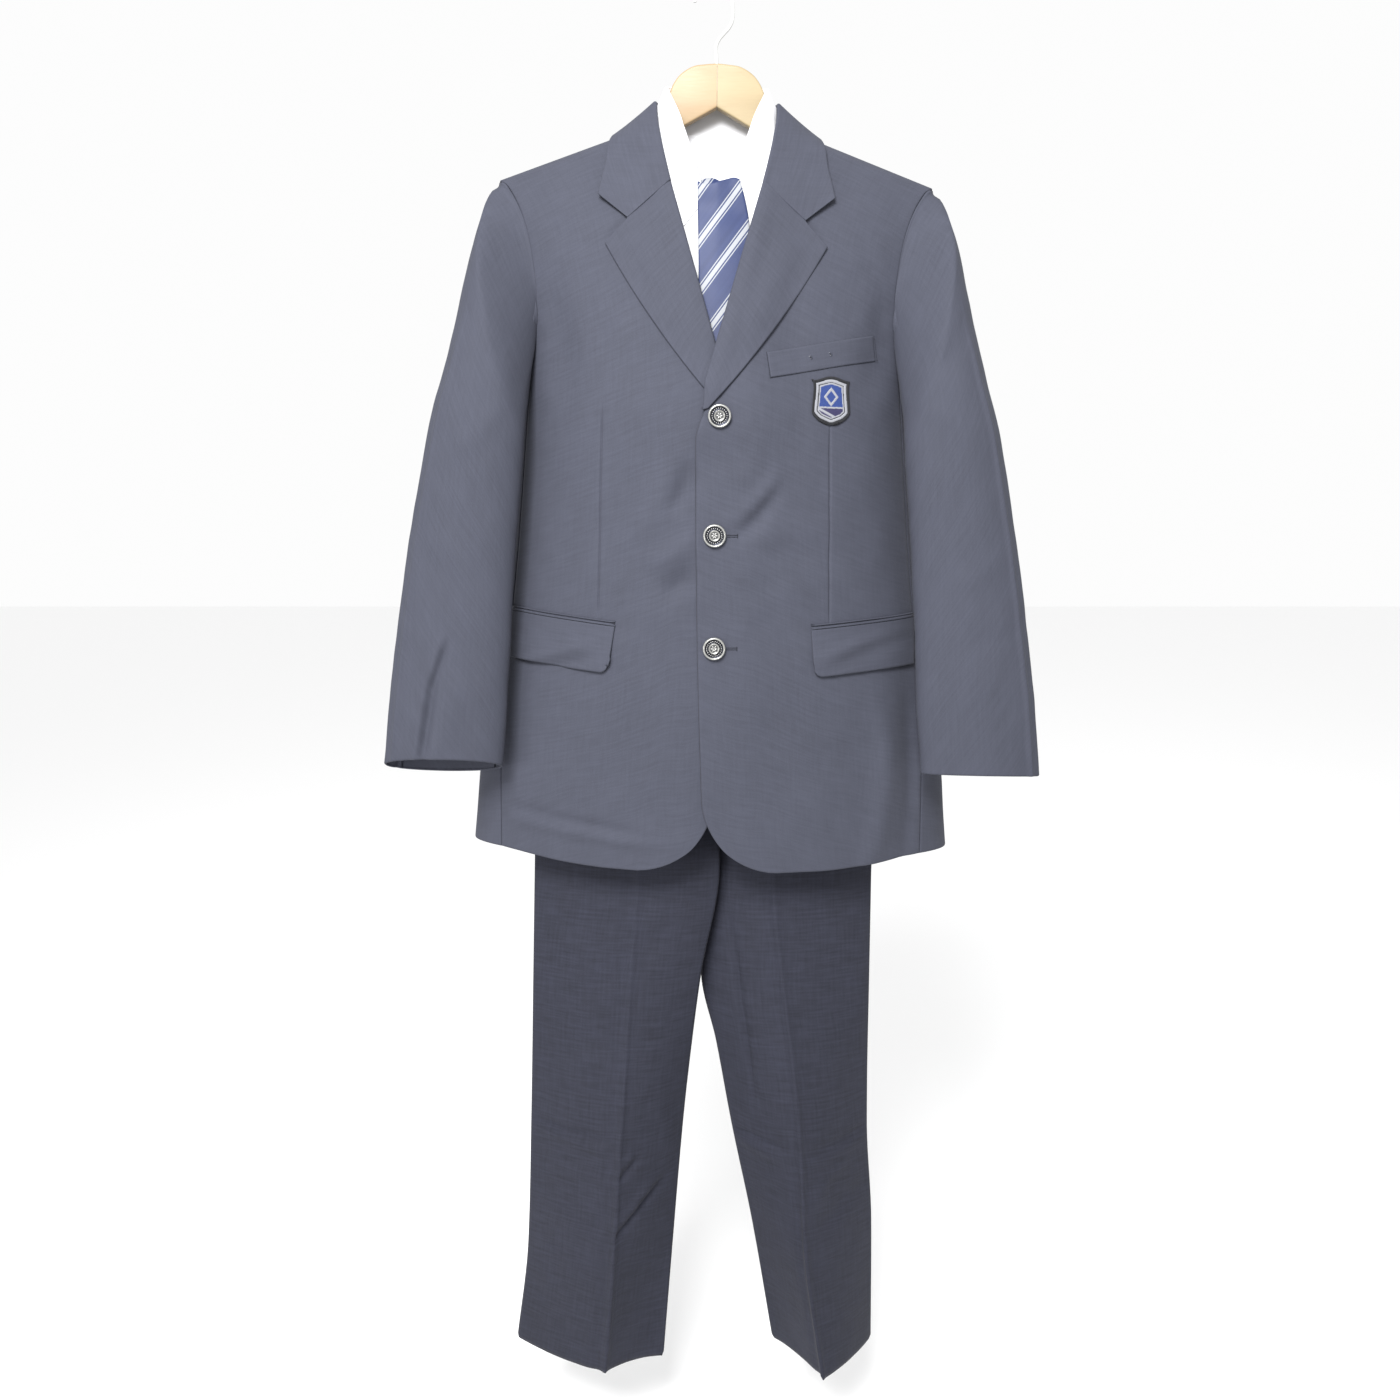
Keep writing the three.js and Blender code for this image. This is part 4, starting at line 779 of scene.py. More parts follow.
def shape_front(sign):
    beside = [DART_SHARE + k / 220 for k in (-2.4, -1.2, -0.6, 0, 0.6, 1.2, 2.4)]
    across = [u for u in stations(50, (CORNER_SHARE,), 0.03) if abs(u - DART_SHARE) > 0.014]
    u, v = grid_of(sorted([*across, *beside]), rows_of(735, (AT_GORGE, AT_UNDERARM, AT_BREAK, AT_CORNER)))
    x, z = front_outline(along_dart(u, v, sign), v, sign)
    points = front_surface(sign, x, z)
    points[..., 0] -= sign * u * SEAM / 2
    normal = facing(points, -sign)
    lift = front_fold_lift(sign, x, z) + crinkle(sign * x, z, 111)
    lift *= smooth((shoulder_z(x) - z) / 30) * lerp(1, smooth((x - rolled_x(z)) / 40), z > BREAK[1])
    lift = lift * near_seams(points, 0) - dart_depth(sign, x, z)
    edges = turned_in(points, (2.2, 1.1, 1.1, 2.2))
    return points + normal * (lift - edges)[..., None]


def rolled_x(z):
    """Where the lapel rolls over, at a height."""
    roll = (BREAK, ROLL_BEND, GORGE)
    return np.interp(z, [point[1] for point in roll], [point[0] for point in roll])


def underarm_z(turn):
    return UNDERARM_SIDE_Z + (UNDERARM_Z - UNDERARM_SIDE_Z) * np.sin(np.pi * np.clip(turn, 0, 1))


def shape_side(sign):
    turn, v = grid_of(stations(18, (), 0.06), rows_of(525))
    z = lerp(underarm_z(turn), HEM["z"](SIDE_HEM_X), v)
    x, y = side_point(turn, z, SIDE_SEAMS["front"](z) + SEAM / 2, SIDE_SEAMS["back"](z) + SEAM / 2)
    points = np.stack([sign * x, y, z], axis=-1)
    lift = (folds(y, z, SIDE_FOLDS) + 0.6 * ripple(y, z, 21 + sign)) * near_seams(points, 14, 14)
    return points + facing(points, -sign) * (lift - turned_in(points, (1.1, 1.1, 1.1, 2.2)))[..., None]


BACK_NECK_Z = -158


def back_outline(u, v):
    def top(u):
        x = SHOULDER_TIP[0] * u
        inside = lerp(BACK_NECK_Z, NECK_POINT[1], (x / NECK_POINT[0]) ** 2)
        return [x, np.where(x > NECK_POINT[0], shoulder_z(x), inside)]

    def hem(u):
        return [SIDE_SEAMS["back"](HEM_SIDE_Z) * u, lerp(HEM_SIDE_Z - 4, HEM_SIDE_Z - 2, u)]

    def centre(v):
        return [0 * v, lerp(BACK_NECK_Z, HEM_SIDE_Z - 4, v)]

    return patch(u, v, top, hem, centre, lambda v: armhole_then_seam(ARMHOLE["back"], SIDE_SEAMS["back"], v))


def shape_back(sign):
    neck = NECK_POINT[0] / SHOULDER_TIP[0]
    u, v = grid_of(stations(48, (neck,), 0.03), rows_of(735, (AT_UNDERARM,)))
    x, z = back_outline(u, v)
    points = np.stack([sign * x, back_y(x, z), z], axis=-1)
    points[..., 0] += sign * (1 - 2 * u) * SEAM / 2
    lift = folds(sign * x, z, BACK_FOLDS) + 0.8 * ripple(sign * x, z, 31 + sign) + crinkle(sign * x, z, 131)
    lift *= smooth((shoulder_z(x) - z - 14) / 40) * near_seams(points)
    return points + facing(points, sign) * (lift - turned_in(points, (1.1, 1.1, 1.1, 2.2)))[..., None]


SIDES = ((1, "_l"), (-1, "_r"))
PANELS = (("front", shape_front, -1), ("side", shape_side, -1), ("back", shape_back, 1))
for sign, tag in SIDES:
    for part, shape, outward in PANELS:
        name = f"jacket_{part}{tag}"
        points = shape(sign)
        piece = cloth(f"{name}_cloth", points, SUITING_WALL, sign * outward, suiting)
        hang(piece, name, "suiting", points, ["hanger_arm" + tag])

# %% [markdown]
# ## Sleeves
#
# A blazer sleeve is cut in two pieces, a wide upper one and a narrow under one, and hangs as a
# flattened tube that swings forward of the body. Its rings start on the armhole itself, so the
# sleeve's head follows the same line as the front, the side and the back.

# %% Sleeves
SLEEVE = table(["z", "outer", "inner", "y", "deep"], [
    (-200, 222.5, 200, -6, 12), (-206, 226.8, 198, -10, 14), (-215, 230, 196, -15, 18),
    (-230, 235, 192, -22, 23), (-267, 244.5, 184, -35, 30), (-320, 255.5, 182, -47, 32),
    (-390, 271, 187, -60, 31), (-450, 287, 190, -67, 29), (-540, 304, 198, -71, 27),
    (-630, 319, 205, -73, 26), (-705, 329, 209, -75, 25), (-796, 339, 216, -78, 23),
])
CUFF_Z = -796
CUFF_DROP = {1: 3, -1: 10}
ARM_FRONT_END, ARM_BACK_START = 0.42, 0.58
HEAD_RISE, HEAD_DROP, UNDERARM_CLEAR, UNDERARM_FULLNESS = 1.0, 2.2, 1.2, 16
HANG = [(-0.42, -0.35), (-0.25, -0.21), (0, 0), (0.25, 0.25), (0.46, 0.5), (0.58, 0.65), (0.75, 0.79), (1, 1)]
UPPER, UNDER = (-0.14, 0.5267), (0.5267, 0.86)
SEAM_OVERLAP = 0.0008  # the two pieces of a sleeve overlap this much of a turn
ARMHOLE_TUCK, TUCK_AT, TUCK_WIDTH = 1.6, 0.34, 0.09  # it starts further in here, behind the front
SLEEVE_RIDGE = 2.4


def armhole_point(t, layer=JACKET):
    inset, way = layer["side"] * 0.8, t - np.floor(t)
    front = way < ARM_FRONT_END
    share = np.where(front, way / ARM_FRONT_END, (1 - way) / (1 - ARM_BACK_START))
    z = lerp(SHOULDER_TIP[1] - layer["top"], UNDERARM_SIDE_Z, np.clip(share, 0, 1))
    x = np.where(front, ARMHOLE["front"](z), ARMHOLE["back"](z)) - inset
    y = np.where(front, front_y(x, z, layer), back_y(x, z, layer))
    turn = np.clip((way - ARM_FRONT_END) / (ARM_BACK_START - ARM_FRONT_END), 0, 1)
    low_z = underarm_z(turn)
    low_x, low_y = side_point(turn, low_z, 186 - inset, 198 - inset, layer)
    low = (way >= ARM_FRONT_END) & (way <= ARM_BACK_START)
    return np.where(low, low_x, x), np.where(low, low_y, y), np.where(low, low_z, z)


def sleeve_point(t, s, sign):
    start_x, start_y, start_z = armhole_point(t)
    hang = 2 * np.pi * polyline(t, HANG)[0]
    crown = np.maximum(0, np.cos(2 * np.pi * t)) ** 3
    z = lerp(start_z - HEAD_DROP * crown, CUFF_Z + CUFF_DROP[sign] * np.sin(hang), s)
    middle = (SLEEVE["outer"](z) + SLEEVE["inner"](z)) / 2
    half = (SLEEVE["outer"](z) - SLEEVE["inner"](z)) / 2
    blend = smooth(s / (0.02 + 0.12 * (1 - np.cos(hang))))
    up = np.cos(2 * np.pi * t)
    start = start_x + SEAM * 1.5 + HEAD_RISE * np.maximum(0, up) ** 2
    start = start + UNDERARM_CLEAR * np.maximum(0, -up) ** 4
    start = start - ARMHOLE_TUCK * np.exp(-(((t - TUCK_AT) / TUCK_WIDTH) ** 2))
    swing = UNDERARM_FULLNESS * np.sin(np.pi * np.clip((t - 0.44) / 0.31, 0, 1)) * 4 * blend * (1 - blend)
    x = lerp(start, middle + half * np.cos(hang), blend) + swing
    y = lerp(start_y, SLEEVE["y"](z) - SLEEVE["deep"](z) * np.sin(hang), blend)
    return np.stack([sign * x, y, z], axis=-1)


SLEEVE_FOLDS = {
    # from x, from z, to x, to z, half width, height
    1: [
        (206, -420, 262, -470, 12, 1.6), (250, -330, 215, -400, 12, -1.6),
        (300, -560, 238, -600, 13, 1.0), (320, -640, 250, -660, 12, -1.0),
        (312, -690, 330, -780, 16, 1.2),
    ],
    -1: [
        (-206, -420, -262, -480, 12, 1.6), (-250, -330, -215, -400, 12, -1.4),
        (-274, -662, -290, -712, 4, 2.2, 0), (-266, -664, -283, -713, 3.2, -3.4, 0),
        (-290, -704, -304, -790, 4, 2.4, 0), (-282, -706, -296, -792, 4.5, -4.8, 0),
        (-268, -716, -282, -795, 10, 1.4, 0), (-290, -560, -240, -590, 13, 1.0),
        (-270, -700, -280, -790, 18, 1.2),
    ],
}


def shape_sleeve(sign, part):
    first, last = part
    t, s = grid_of(stations(int(150 * (last - first)), (0,), 0.02), rows_of(590, (), 0.008))
    t = lerp(first - SEAM_OVERLAP, last + SEAM_OVERLAP, t)
    points = sleeve_point(t, s, sign)
    x, z = points[..., 0], points[..., 2]
    in_front = smooth((SLEEVE["y"](z) + 6 - points[..., 1]) / 12)
    lift = folds(x, z, SLEEVE_FOLDS[sign]) * in_front
    lift = lift + 0.7 * ripple(x, z, 41 + sign + int(10 * first)) + crinkle(x, z, 141)
    ridge = np.exp(-((np.abs(np.abs(x) - SLEEVE["outer"](z) + 11) / 2.6) ** 2)) * smooth((s - 0.1) / 0.2)
    lift = (lift + SLEEVE_RIDGE * ridge) * smooth(s / 0.06)
    return points + facing(points, sign) * (lift - turned_in(points, (0.8, 0.8, 0, 1.8)))[..., None]


for sign, tag in SIDES:
    for part, turns in (("upper", UPPER), ("under", UNDER)):
        name = f"jacket_sleeve_{part}{tag}"
        points = shape_sleeve(sign, turns)
        radius = lerp(3.4, 2.2, smooth((points[:1, :, 2:] + 250) / 45))  # the roll is finest at the shoulder
        points = roll_start(points, sign, radius, 155, axis=0)
        piece = cloth(f"{name}_cloth", points, SUITING_WALL, sign, suiting)
        hang(piece, name, "suiting", points, ["hanger_arm" + tag])

# %% [markdown]
# ## Lapels and collars
#
# A lapel is the front's own edge turned back over it, so it starts as a round roll and then
# lies just above the chest. A collar is a stand that rises from the neckline and a fall that
# comes down from it; the fold between them is one round roll too.

# %% Lapels
LAPEL_LIFT, LAPEL_BOW, LAPEL_WALL = 3.4, 6, 2.4
NOTCH_SHARE = 0.62


def shape_lapel(sign):
    end = (BREAK[0] + 4, BREAK[1] + 1.5)

    def edge(v):
        bow = LAPEL_BOW * 4 * v * (1 - v)
        return [lerp(LAPEL_TIP[0], end[0], v) + bow * 0.8, lerp(LAPEL_TIP[1], end[1], v) - bow * 0.6]

    u, v = grid_of(stations(22, (NOTCH_SHARE,), 0.05), rows_of(240, (), 0.012))
    x, z = patch(
        u, v,
        lambda u: polyline(u, [(0, *GORGE), (NOTCH_SHARE, *NOTCH), (1, *LAPEL_TIP)]),
        lambda u: [lerp(BREAK[0], end[0], u), lerp(BREAK[1], end[1], u)],
        lambda v: polyline(v, [(0, *GORGE), (0.87, *ROLL_BEND), (1, *BREAK)]),
        edge,
    )
    flat = front_surface(sign, x, z)
    from_roll = span(flat, 1)[0]
    lift = LAPEL_LIFT + 1.5 * np.exp(-(((from_roll - 9) / 9) ** 2)) + 0.5 * ripple(x, z, 51 + sign)
    lift += 1.6 * near_line(x, z, (70, -262, 20, -372, 16)) - 1.2 * near_line(x, z, (96, -262, 60, -330, 12))
    lift = lerp(lift, 2.6, smooth((v - 0.88) / 0.12))
    points = front_surface(sign, x, z - SEAM * (1 - v), lift)
    top_edge = rounded(span(points, 0)[0], 1.4) * (u > NOTCH_SHARE + 0.01)
    turn = np.maximum(turned_in(points, (0, 1.4, 0, 1.0)), top_edge)
    points -= facing(points, -sign) * turn[..., None]
    radius = lerp(2.4, 1.6, smooth((v[:, :1, None] - 0.9) / 0.1))  # the roll flattens out at the break
    return roll_start(points, -sign, radius, 165)


for sign, tag in SIDES:
    points = shape_lapel(sign)
    piece = cloth(f"lapel{tag}_cloth", points, LAPEL_WALL, -sign, suiting)
    hang(piece, f"lapel{tag}", "suiting", points, ["jacket_front" + tag], held="laid")

# %% Collar tables
COLLARS = {
    # station round the neck, then x y z of the fold, the middle and the edge
    "collar_fall": [
        (0, 0, 28, -121.5, 0, 30, -146, 0, 31, -171), (1, 38, 24, -120.5, 49, 25, -142, 60, 24.5, -165),
        (1.6, 57, 13.5, -119.8, 75.5, 16.5, -137, 93, 17, -157),
        (2, 64.3, 0, -119.5, 84, 0, -136.5, 104, 0, -153),
        (2.5, 62.5, -21, -137, 84.5, -23, -151, 109, -24, -164),
        (3, 58, -43, -163.5, 82, -43, -180, 111.5, -38, -187),
        (3.5, 53, -56, -186, 86, -55.5, -212, 115, -46, -204),
        (4, 47.4, -65.4, -209.2, 88, -64.6, -244.4, 118, -53.5, -220),
    ],
    "collar_stand": [
        (0, 0, 25, -120.5, 0, 22.3, -157.2), (1, 36, 21.5, -119.5, 45, 18.6, -153.5),
        (1.6, 54.5, 12.4, -121, 68, 14, -149), (2, 62, 0, -121, 79, 0, -145.6),
        (2.5, 60.5, -18.7, -139, 72, -27, -159.2), (3, 56, -38.5, -164.5, 64, -41.5, -174.8),
        (4, 46.5, -60, -204.5, 47.5, -61, -208),
    ],
    "shirt_collar_fall": [
        (0, 0, 20.8, -104, 0, 21.6, -124, 0, 21.2, -143),
        (1, 33, 17.2, -104, 36.5, 17.5, -123, 41, 17, -141),
        (1.6, 45.5, 8, -104.5, 50.2, 8, -118, 55.8, 8.4, -130),
        (2, 53, 0, -105.5, 58.2, 0, -118, 63.9, 0, -129.5),
        (2.5, 48.4, -18.4, -117, 55.3, -16.8, -131, 61.2, -15.6, -146),
        (3, 36, -38, -146, 50, -40.5, -168, 66, -42, -190),
        (3.5, 28.5, -50, -180, 47, -55, -212, 69, -61, -245),
        (4, 14, -61.5, -230, 41, -68, -263, 72, -73.5, -300),
    ],
    "shirt_collar_stand": [
        (0, 0, 19.4, -103.4, 0, 15.0, -153), (1, 31.5, 15.8, -103.4, 40.5, 12.1, -150),
        (1.6, 44, 6.6, -103.9, 58.5, 6.6, -142.5), (2, 50.6, 0, -104.8, 67.2, 0, -141.4),
        (2.5, 45.5, -17, -119.5, 60, -20, -155.5), (3, 34, -36.5, -148.5, 46.5, -40.6, -182.5),
        (4, 15.5, -58, -210, 16.8, -59.2, -213.8),
    ],
}


def round_neck(rows):
    """The same stations on both sides of the neck, with x turned over on the wearer's right."""
    flips = [-1 if k == 0 or k % 3 == 1 else 1 for k in range(len(rows[0]))]
    turned = [tuple(f * value for f, value in zip(flips, row)) for row in rows[1:]]
    return table([f"c{k}" for k in range(len(rows[0]))], [*turned, *rows])


def shape_collar(name, radii, step=GRID):
    rows = COLLARS[name]
    band = round_neck(rows)
    lines = (len(rows[0]) - 1) // 3
    t, v = grid_of(stations(int(620 / step), (), 0.008) * 8 - 4, stations(int(64 / step) + 2, (0.5,), 0.06))
    spots = [np.stack([band[f"c{3 * k + a}"](t) for a in (1, 2, 3)], axis=-1) for k in range(lines)]
    v = v[..., None]
    if lines == 2:
        points = lerp(spots[0], spots[1], v)
    else:
        bent = 2 * spots[0] * (v - 0.5) * (v - 1) - 4 * spots[1] * v * (v - 1) + 2 * spots[2] * v * (v - 0.5)
        straight = np.where(v < 0.5, lerp(spots[0], spots[1], 2 * v), lerp(spots[1], spots[2], 2 * v - 1))
        points = lerp(bent, straight, smooth((np.abs(t) - 3.0) / 1.0)[..., None])
    return points - facing(points, 1) * turned_in(points, radii)[..., None]


for name, slot, material, wall, radii, fold in (
    ("collar_fall", "suiting", suiting, 2.2, (0, 0, 0, 1.2), 2.2),
    ("collar_stand", "suiting", suiting, 2.0, (0, 0, 0, 0), 0),
    ("shirt_collar_fall", "shirting", shirting, 1.1, (0.7, 0.7, 0, 0.8), 1.4),
    ("shirt_collar_stand", "shirting", shirting, 1.0, (0, 0, 0, 0), 0),
):
    points = shape_collar(name, radii)
    if fold:
        points = roll_start(points, 1, fold, 175, axis=0)
    piece = cloth(f"{name}_cloth", points, wall, 1, material)
    hang(piece, name, slot, points, ["jacket_back_l" if slot == "suiting" else "shirt_yoke"], held="folded")

# %% [markdown]
# ## Pockets and welt
#
# A hip pocket has a narrow jet above its flap; the flap's inner lower corner is rounded. The
# chest pocket is a slanting welt. All of them follow the front beneath them, a little way out.

# %% Pockets
POCKET = {"inner": 99, "outer": 212, "z": -641.8, "rise": 0.09, "jet": 5, "flap": 49}
FLAP_SLANT = {1: 4, -1: 8}
WELT = {"inner": 50, "outer": 159, "z": -375, "rise": 0.2, "height": 25.5, "slant": 4}
POCKET_FOLDS = {
    1: [(205, -642, 108, -676, 6, 2.0, 0), (205, -656, 108, -690, 7, -1.8, 0)],
    -1: [(-206, -690, -128, -666, 5, 2.4, 0), (-186, -698, -116, -678, 6, -2.8, 0)],
}


def side_room(x):
    """The little more room that cloth laid on a front needs where it turns round the side."""
    return 1.6 * smooth((x - 150) / 60)


def on_front(sign, x, z, out, radii):
    """Cloth laid on a front: it follows the front's own folds at the height `out`."""
    points = front_surface(sign, x, z, out + side_room(x))
    normal = facing(points, -sign)
    return points + normal * (front_fold_lift(sign, x, z) - turned_in(points, radii))[..., None]


def pocket_line(x):
    return POCKET["z"] + POCKET["rise"] * (x - POCKET["inner"])


def shape_jet(sign):
    u, v = grid_of(stations(26), np.linspace(0, 1, 19))
    x = lerp(POCKET["inner"], POCKET["outer"], u)
    groove = 2.4 * np.exp(-(((v - 0.4) / 0.12) ** 2))
    return on_front(sign, x, pocket_line(x) - POCKET["jet"] * v, 2.8 - groove, (0.8, 0.8, 0.8, 1.2))


def shape_flap(sign):
    u, v = grid_of(stations(36, (0.008, 0.022, 0.04, 0.064, 0.09), 0.03), stations(14, (), 0.09))
    rounding = 9 * (1 - np.sqrt(1 - (1 - np.clip(u / 0.09, 0, 1)) ** 2)) * smooth(v * 1.6 - 0.6)
    x = lerp(POCKET["inner"], POCKET["outer"], u) + FLAP_SLANT[sign] * v * (1 - u)
    z = pocket_line(x) - POCKET["jet"] - SEAM - (POCKET["flap"] - rounding) * v
    lift = folds(sign * x, z, POCKET_FOLDS[sign]) + 0.8 * ripple(sign * x, z, 61 + sign, 60)
    out = lerp(1.8, 4.6, smooth(v * 1.2)) + lift * smooth(v * 2.5)
    return on_front(sign, x, z, out, (1.4, 1.4, 0.8, 1.6))


def shape_welt():
    u, v = grid_of(stations(26, (), 0.04), stations(10, (), 0.1))
    x = lerp(WELT["inner"], WELT["outer"], u) + WELT["slant"] * v
    z = WELT["z"] + WELT["rise"] * (x - WELT["inner"]) - WELT["height"] * v
    return on_front(1, x, z, 1.7, (1.1, 1.1, 1.3, 1.1))


for sign, tag in SIDES:
    for name, shape, wall in (("pocket_jet", shape_jet, 1.4), ("pocket_flap", shape_flap, 1.8)):
        points = shape(sign)
        piece = cloth(f"{name}{tag}_cloth", points, wall, -sign, suiting)
        hang(piece, name + tag, "suiting", points, ["jacket_front" + tag], held="laid")
points = shape_welt()
piece = cloth("chest_welt_cloth", points, 1.5, -1, suiting)
hang(piece, "chest_welt", "suiting", points, ["jacket_front_l"], held="laid")

# %% [markdown]
# ## Shirt
#
# Inside the blazer the shirt repeats its body a few millimetres smaller all round, with a yoke
# across the back and short sleeves that follow the blazer's. The left front lies over the right.

# %% Shirt panels
SHIRT_HEM_Z, YOKE_Z = -790, -215
SHIRT_NECK = (70, float(shoulder_z(70)) - SHIRT["top"])
SHIRT_OVERLAP_X, SHIRT_FRONT_LIFT, SHIRT_UNDERARM = 12, 2.6, 0.28
SHIRT_WALL = 1.0
SHIRT_TIP = {side: float(ARMHOLE[side](-200)) - SHIRT["side"] * 0.8 for side in ("front", "back")}


def shirt_side_x(z, side):
    inset = SHIRT["side"] * 0.8
    start = ARMHOLE[side](UNDERARM_SIDE_Z) - inset
    below = lerp(start, (BODY["half"](z) - SHIRT["side"]) * 0.9995, smooth((UNDERARM_SIDE_Z - z) / 60))
    return np.where(z > UNDERARM_SIDE_Z, ARMHOLE[side](z) - inset, below)


def quarter(u):
    return np.sin(u * np.pi / 2)


def shape_shirt_front(sign):
    u, v = grid_of(stations(34, (), 0.02), stations(120, (0.07, 0.14, 0.21, SHIRT_UNDERARM), 0.006))

    def top(u):
        x = lerp(SHIRT_NECK[0], SHIRT_TIP["front"], quarter(u))
        return [x, shoulder_z(x) - SHIRT["top"]]

    def side(v):
        start = float(shoulder_z(222)) - SHIRT["top"]
        upper = lerp(start, UNDERARM_SIDE_Z, np.clip(v / SHIRT_UNDERARM, 0, 1))
        lower = lerp(UNDERARM_SIDE_Z, SHIRT_HEM_Z, np.clip((v - SHIRT_UNDERARM) / (1 - SHIRT_UNDERARM), 0, 1))
        z = np.where(v < SHIRT_UNDERARM, upper, lower)
        return [shirt_side_x(z, "front"), z]

    def hem(u):
        outer = shirt_side_x(np.array(SHIRT_HEM_Z), "front")
        return [lerp(-SHIRT_OVERLAP_X, outer, quarter(u)), SHIRT_HEM_Z + 0 * u]

    def opening(v):
        return polyline(v, [
            (0, *SHIRT_NECK), (0.07, 48, -184), (0.14, 17, -216), (0.21, -SHIRT_OVERLAP_X, -250),
            (1, -SHIRT_OVERLAP_X, SHIRT_HEM_Z)])

    x, z = patch(u, v, top, hem, opening, side)
    over = SHIRT_FRONT_LIFT * (1 - smooth((x - 14) / 40)) if sign > 0 else 0
    points = np.stack([sign * x, front_y(x, z, SHIRT) - over, z], axis=-1)
    return points + facing(points, -sign) * (0.6 * ripple(sign * x, z, 71 + sign, 60))[..., None]


def shape_shirt_back():
    u, v = grid_of(np.linspace(-1, 1, 75), stations(100, (), 0.006))
    z = lerp(YOKE_Z - SEAM, SHIRT_HEM_Z, v)
    x = quarter(u) * shirt_side_x(z, "back")
    points = np.stack([x, back_y(x, z, SHIRT), z], axis=-1)
    return points + facing(points, 1) * (0.6 * ripple(x, z, 75, 60))[..., None]


def shape_shirt_yoke():
    neck = SHIRT_NECK[0] / SHIRT_TIP["back"]
    half = stations(38, (neck,))
    u, v = grid_of([*(-half[:0:-1]), *half], stations(18, (), 0.03))
    away = np.abs(u)
    inside = lerp(-149.5, SHIRT_NECK[1], (away / neck) ** 2)
    top = np.where(away < neck, inside, shoulder_z(away * SHIRT_TIP["back"]) - SHIRT["top"])
    z = lerp(top, YOKE_Z, v)
    x = u * shirt_side_x(np.minimum(z, -200), "back")
    return np.stack([x, back_y(x, z, SHIRT), z], axis=-1)


for name, points, outward, rest in (
    ("shirt_front_l", shape_shirt_front(1), -1, "hanger_arm_l"),
    ("shirt_front_r", shape_shirt_front(-1), 1, "hanger_arm_r"),
    ("shirt_back", shape_shirt_back(), 1, "hanger_arm_l"),
    ("shirt_yoke", shape_shirt_yoke(), 1, "hanger_arm_l"),
):
    hang(cloth(f"{name}_cloth", points, SHIRT_WALL, outward, shirting), name, "shirting", points, [rest])

# %% Shirt sleeves
DRAWN_IN, SHIRT_SLEEVE_END = 0.25, 0.26


def shape_shirt_sleeve(sign):
    t, s = grid_of(np.linspace(-0.42, 0.58, 71)[:-1], np.linspace(-0.2, SHIRT_SLEEVE_END, 34))
    down = np.maximum(s, 0)
    outer = sleeve_point(t, down, 1)
    points = lerp(outer, outer.mean(axis=1, keepdims=True), DRAWN_IN)
    start = np.stack(armhole_point(t, SHIRT), axis=-1)
    start[..., 0] += SEAM * 4
    points = lerp(start, points, np.clip(s / 0.2 + 1, 0, 1)[..., None])
    points[..., 0] *= sign
    return points


for sign, tag in SIDES:
    points = shape_shirt_sleeve(sign)
    piece = cloth(f"shirt_sleeve{tag}_cloth", points, SHIRT_WALL, sign, shirting, ring=True)
    hang(piece, f"shirt_sleeve{tag}", "shirting", points, ["hanger_arm" + tag], ring=True)

# %% [markdown]
# ## Tie
#
# The tie lies over its own tail, and the fold at its top waves a little. Its stripes are woven
# in: a wide white bar between two fine ones, sloping up to the wearer's left, over a blue rib.
# The stripes come from the cloth's own map, so they run with it. The blue is lighter in broad slanting bands
# of painted sheen.

# %% Tie cloth
def build_stripes():
    tree, given, result = new_group(
        "woven_stripes",
        [("Vector", VECTOR, None), ("Pitch", FLOAT, 0.0495), ("Slope", FLOAT, 1.38), ("Start", FLOAT, 0.017)],
        [("Color", COLOUR), ("Height", FLOAT)],
    )
    pitch = given.outputs["Pitch"]
    spread = node(tree, "ShaderNodeSeparateXYZ", {0: given.outputs["Vector"]})
    x, y = spread.outputs[0], spread.outputs[1]
    slid = maths(tree, "MULTIPLY_ADD", maths(tree, "ADD", x, 0.02125), given.outputs["Slope"], y)
    turns = maths(tree, "DIVIDE", maths(tree, "SUBTRACT", slid, given.outputs["Start"]), pitch)
    place_in_group = maths(tree, "MULTIPLY", maths(tree, "PINGPONG", turns, 0.5), pitch)
    bar = maths(tree, "LESS_THAN", place_in_group, 0.0034)
    outer = maths(tree, "LESS_THAN", place_in_group, 0.0073)
    inner = maths(tree, "GREATER_THAN", place_in_group, 0.0056)
    white = maths(tree, "MAXIMUM", bar, maths(tree, "MULTIPLY", outer, inner))
    rib_turn = maths(tree, "MULTIPLY", slid, 2 * math.pi / 0.0013)
    rib = maths(tree, "MULTIPLY_ADD", maths(tree, "SINE", rib_turn), 0.5, 0.5)
    cloud = noise(tree, given.outputs["Vector"], 70.0, 2.0)
    across = node(tree, "ShaderNodeCombineXYZ", {0: maths(tree, "MULTIPLY", slid, 110.0)}).outputs[0]
    # broad slanting bands of painted sheen across the blue; the cloud and the rib mixed in with them are the
    # weave's own tone
    band = noise(tree, across, 1.0, 1.0)
    painted_sheen_and_weave_tone = maths(tree, "MULTIPLY_ADD", band, 0.9, maths(tree, "MULTIPLY", cloud, 0.25))
    painted_sheen_and_weave_tone = maths(tree, "MULTIPLY_ADD", rib, 0.3, painted_sheen_and_weave_tone)
    blue = mixed(tree, painted_sheen_and_weave_tone, (0.007, 0.014, 0.055, 1), (0.023, 0.035, 0.1, 1))
    woven = mixed(tree, white, blue, (0.27, 0.28, 0.3, 1))
    tree.links.new(woven, result.inputs["Color"])
    tree.links.new(maths(tree, "MULTIPLY_ADD", white, 0.5, rib), result.inputs["Height"])
    return tree


tie_cloth = finish(
    "tie_cloth", build_stripes(), {}, (0.25, 0.0002), {"Roughness": 0.5, "Specular IOR Level": 0.3})

# %% Tie shape
TIE = table(["z", "left", "right"], [
    (-206, -19.5, 23), (-246, -18.5, 32), (-303, -17.5, 36), (-500, -22, 40), (-740, -34, 46),
])
TIE_TOP, TIE_WALL = -206, 1.3


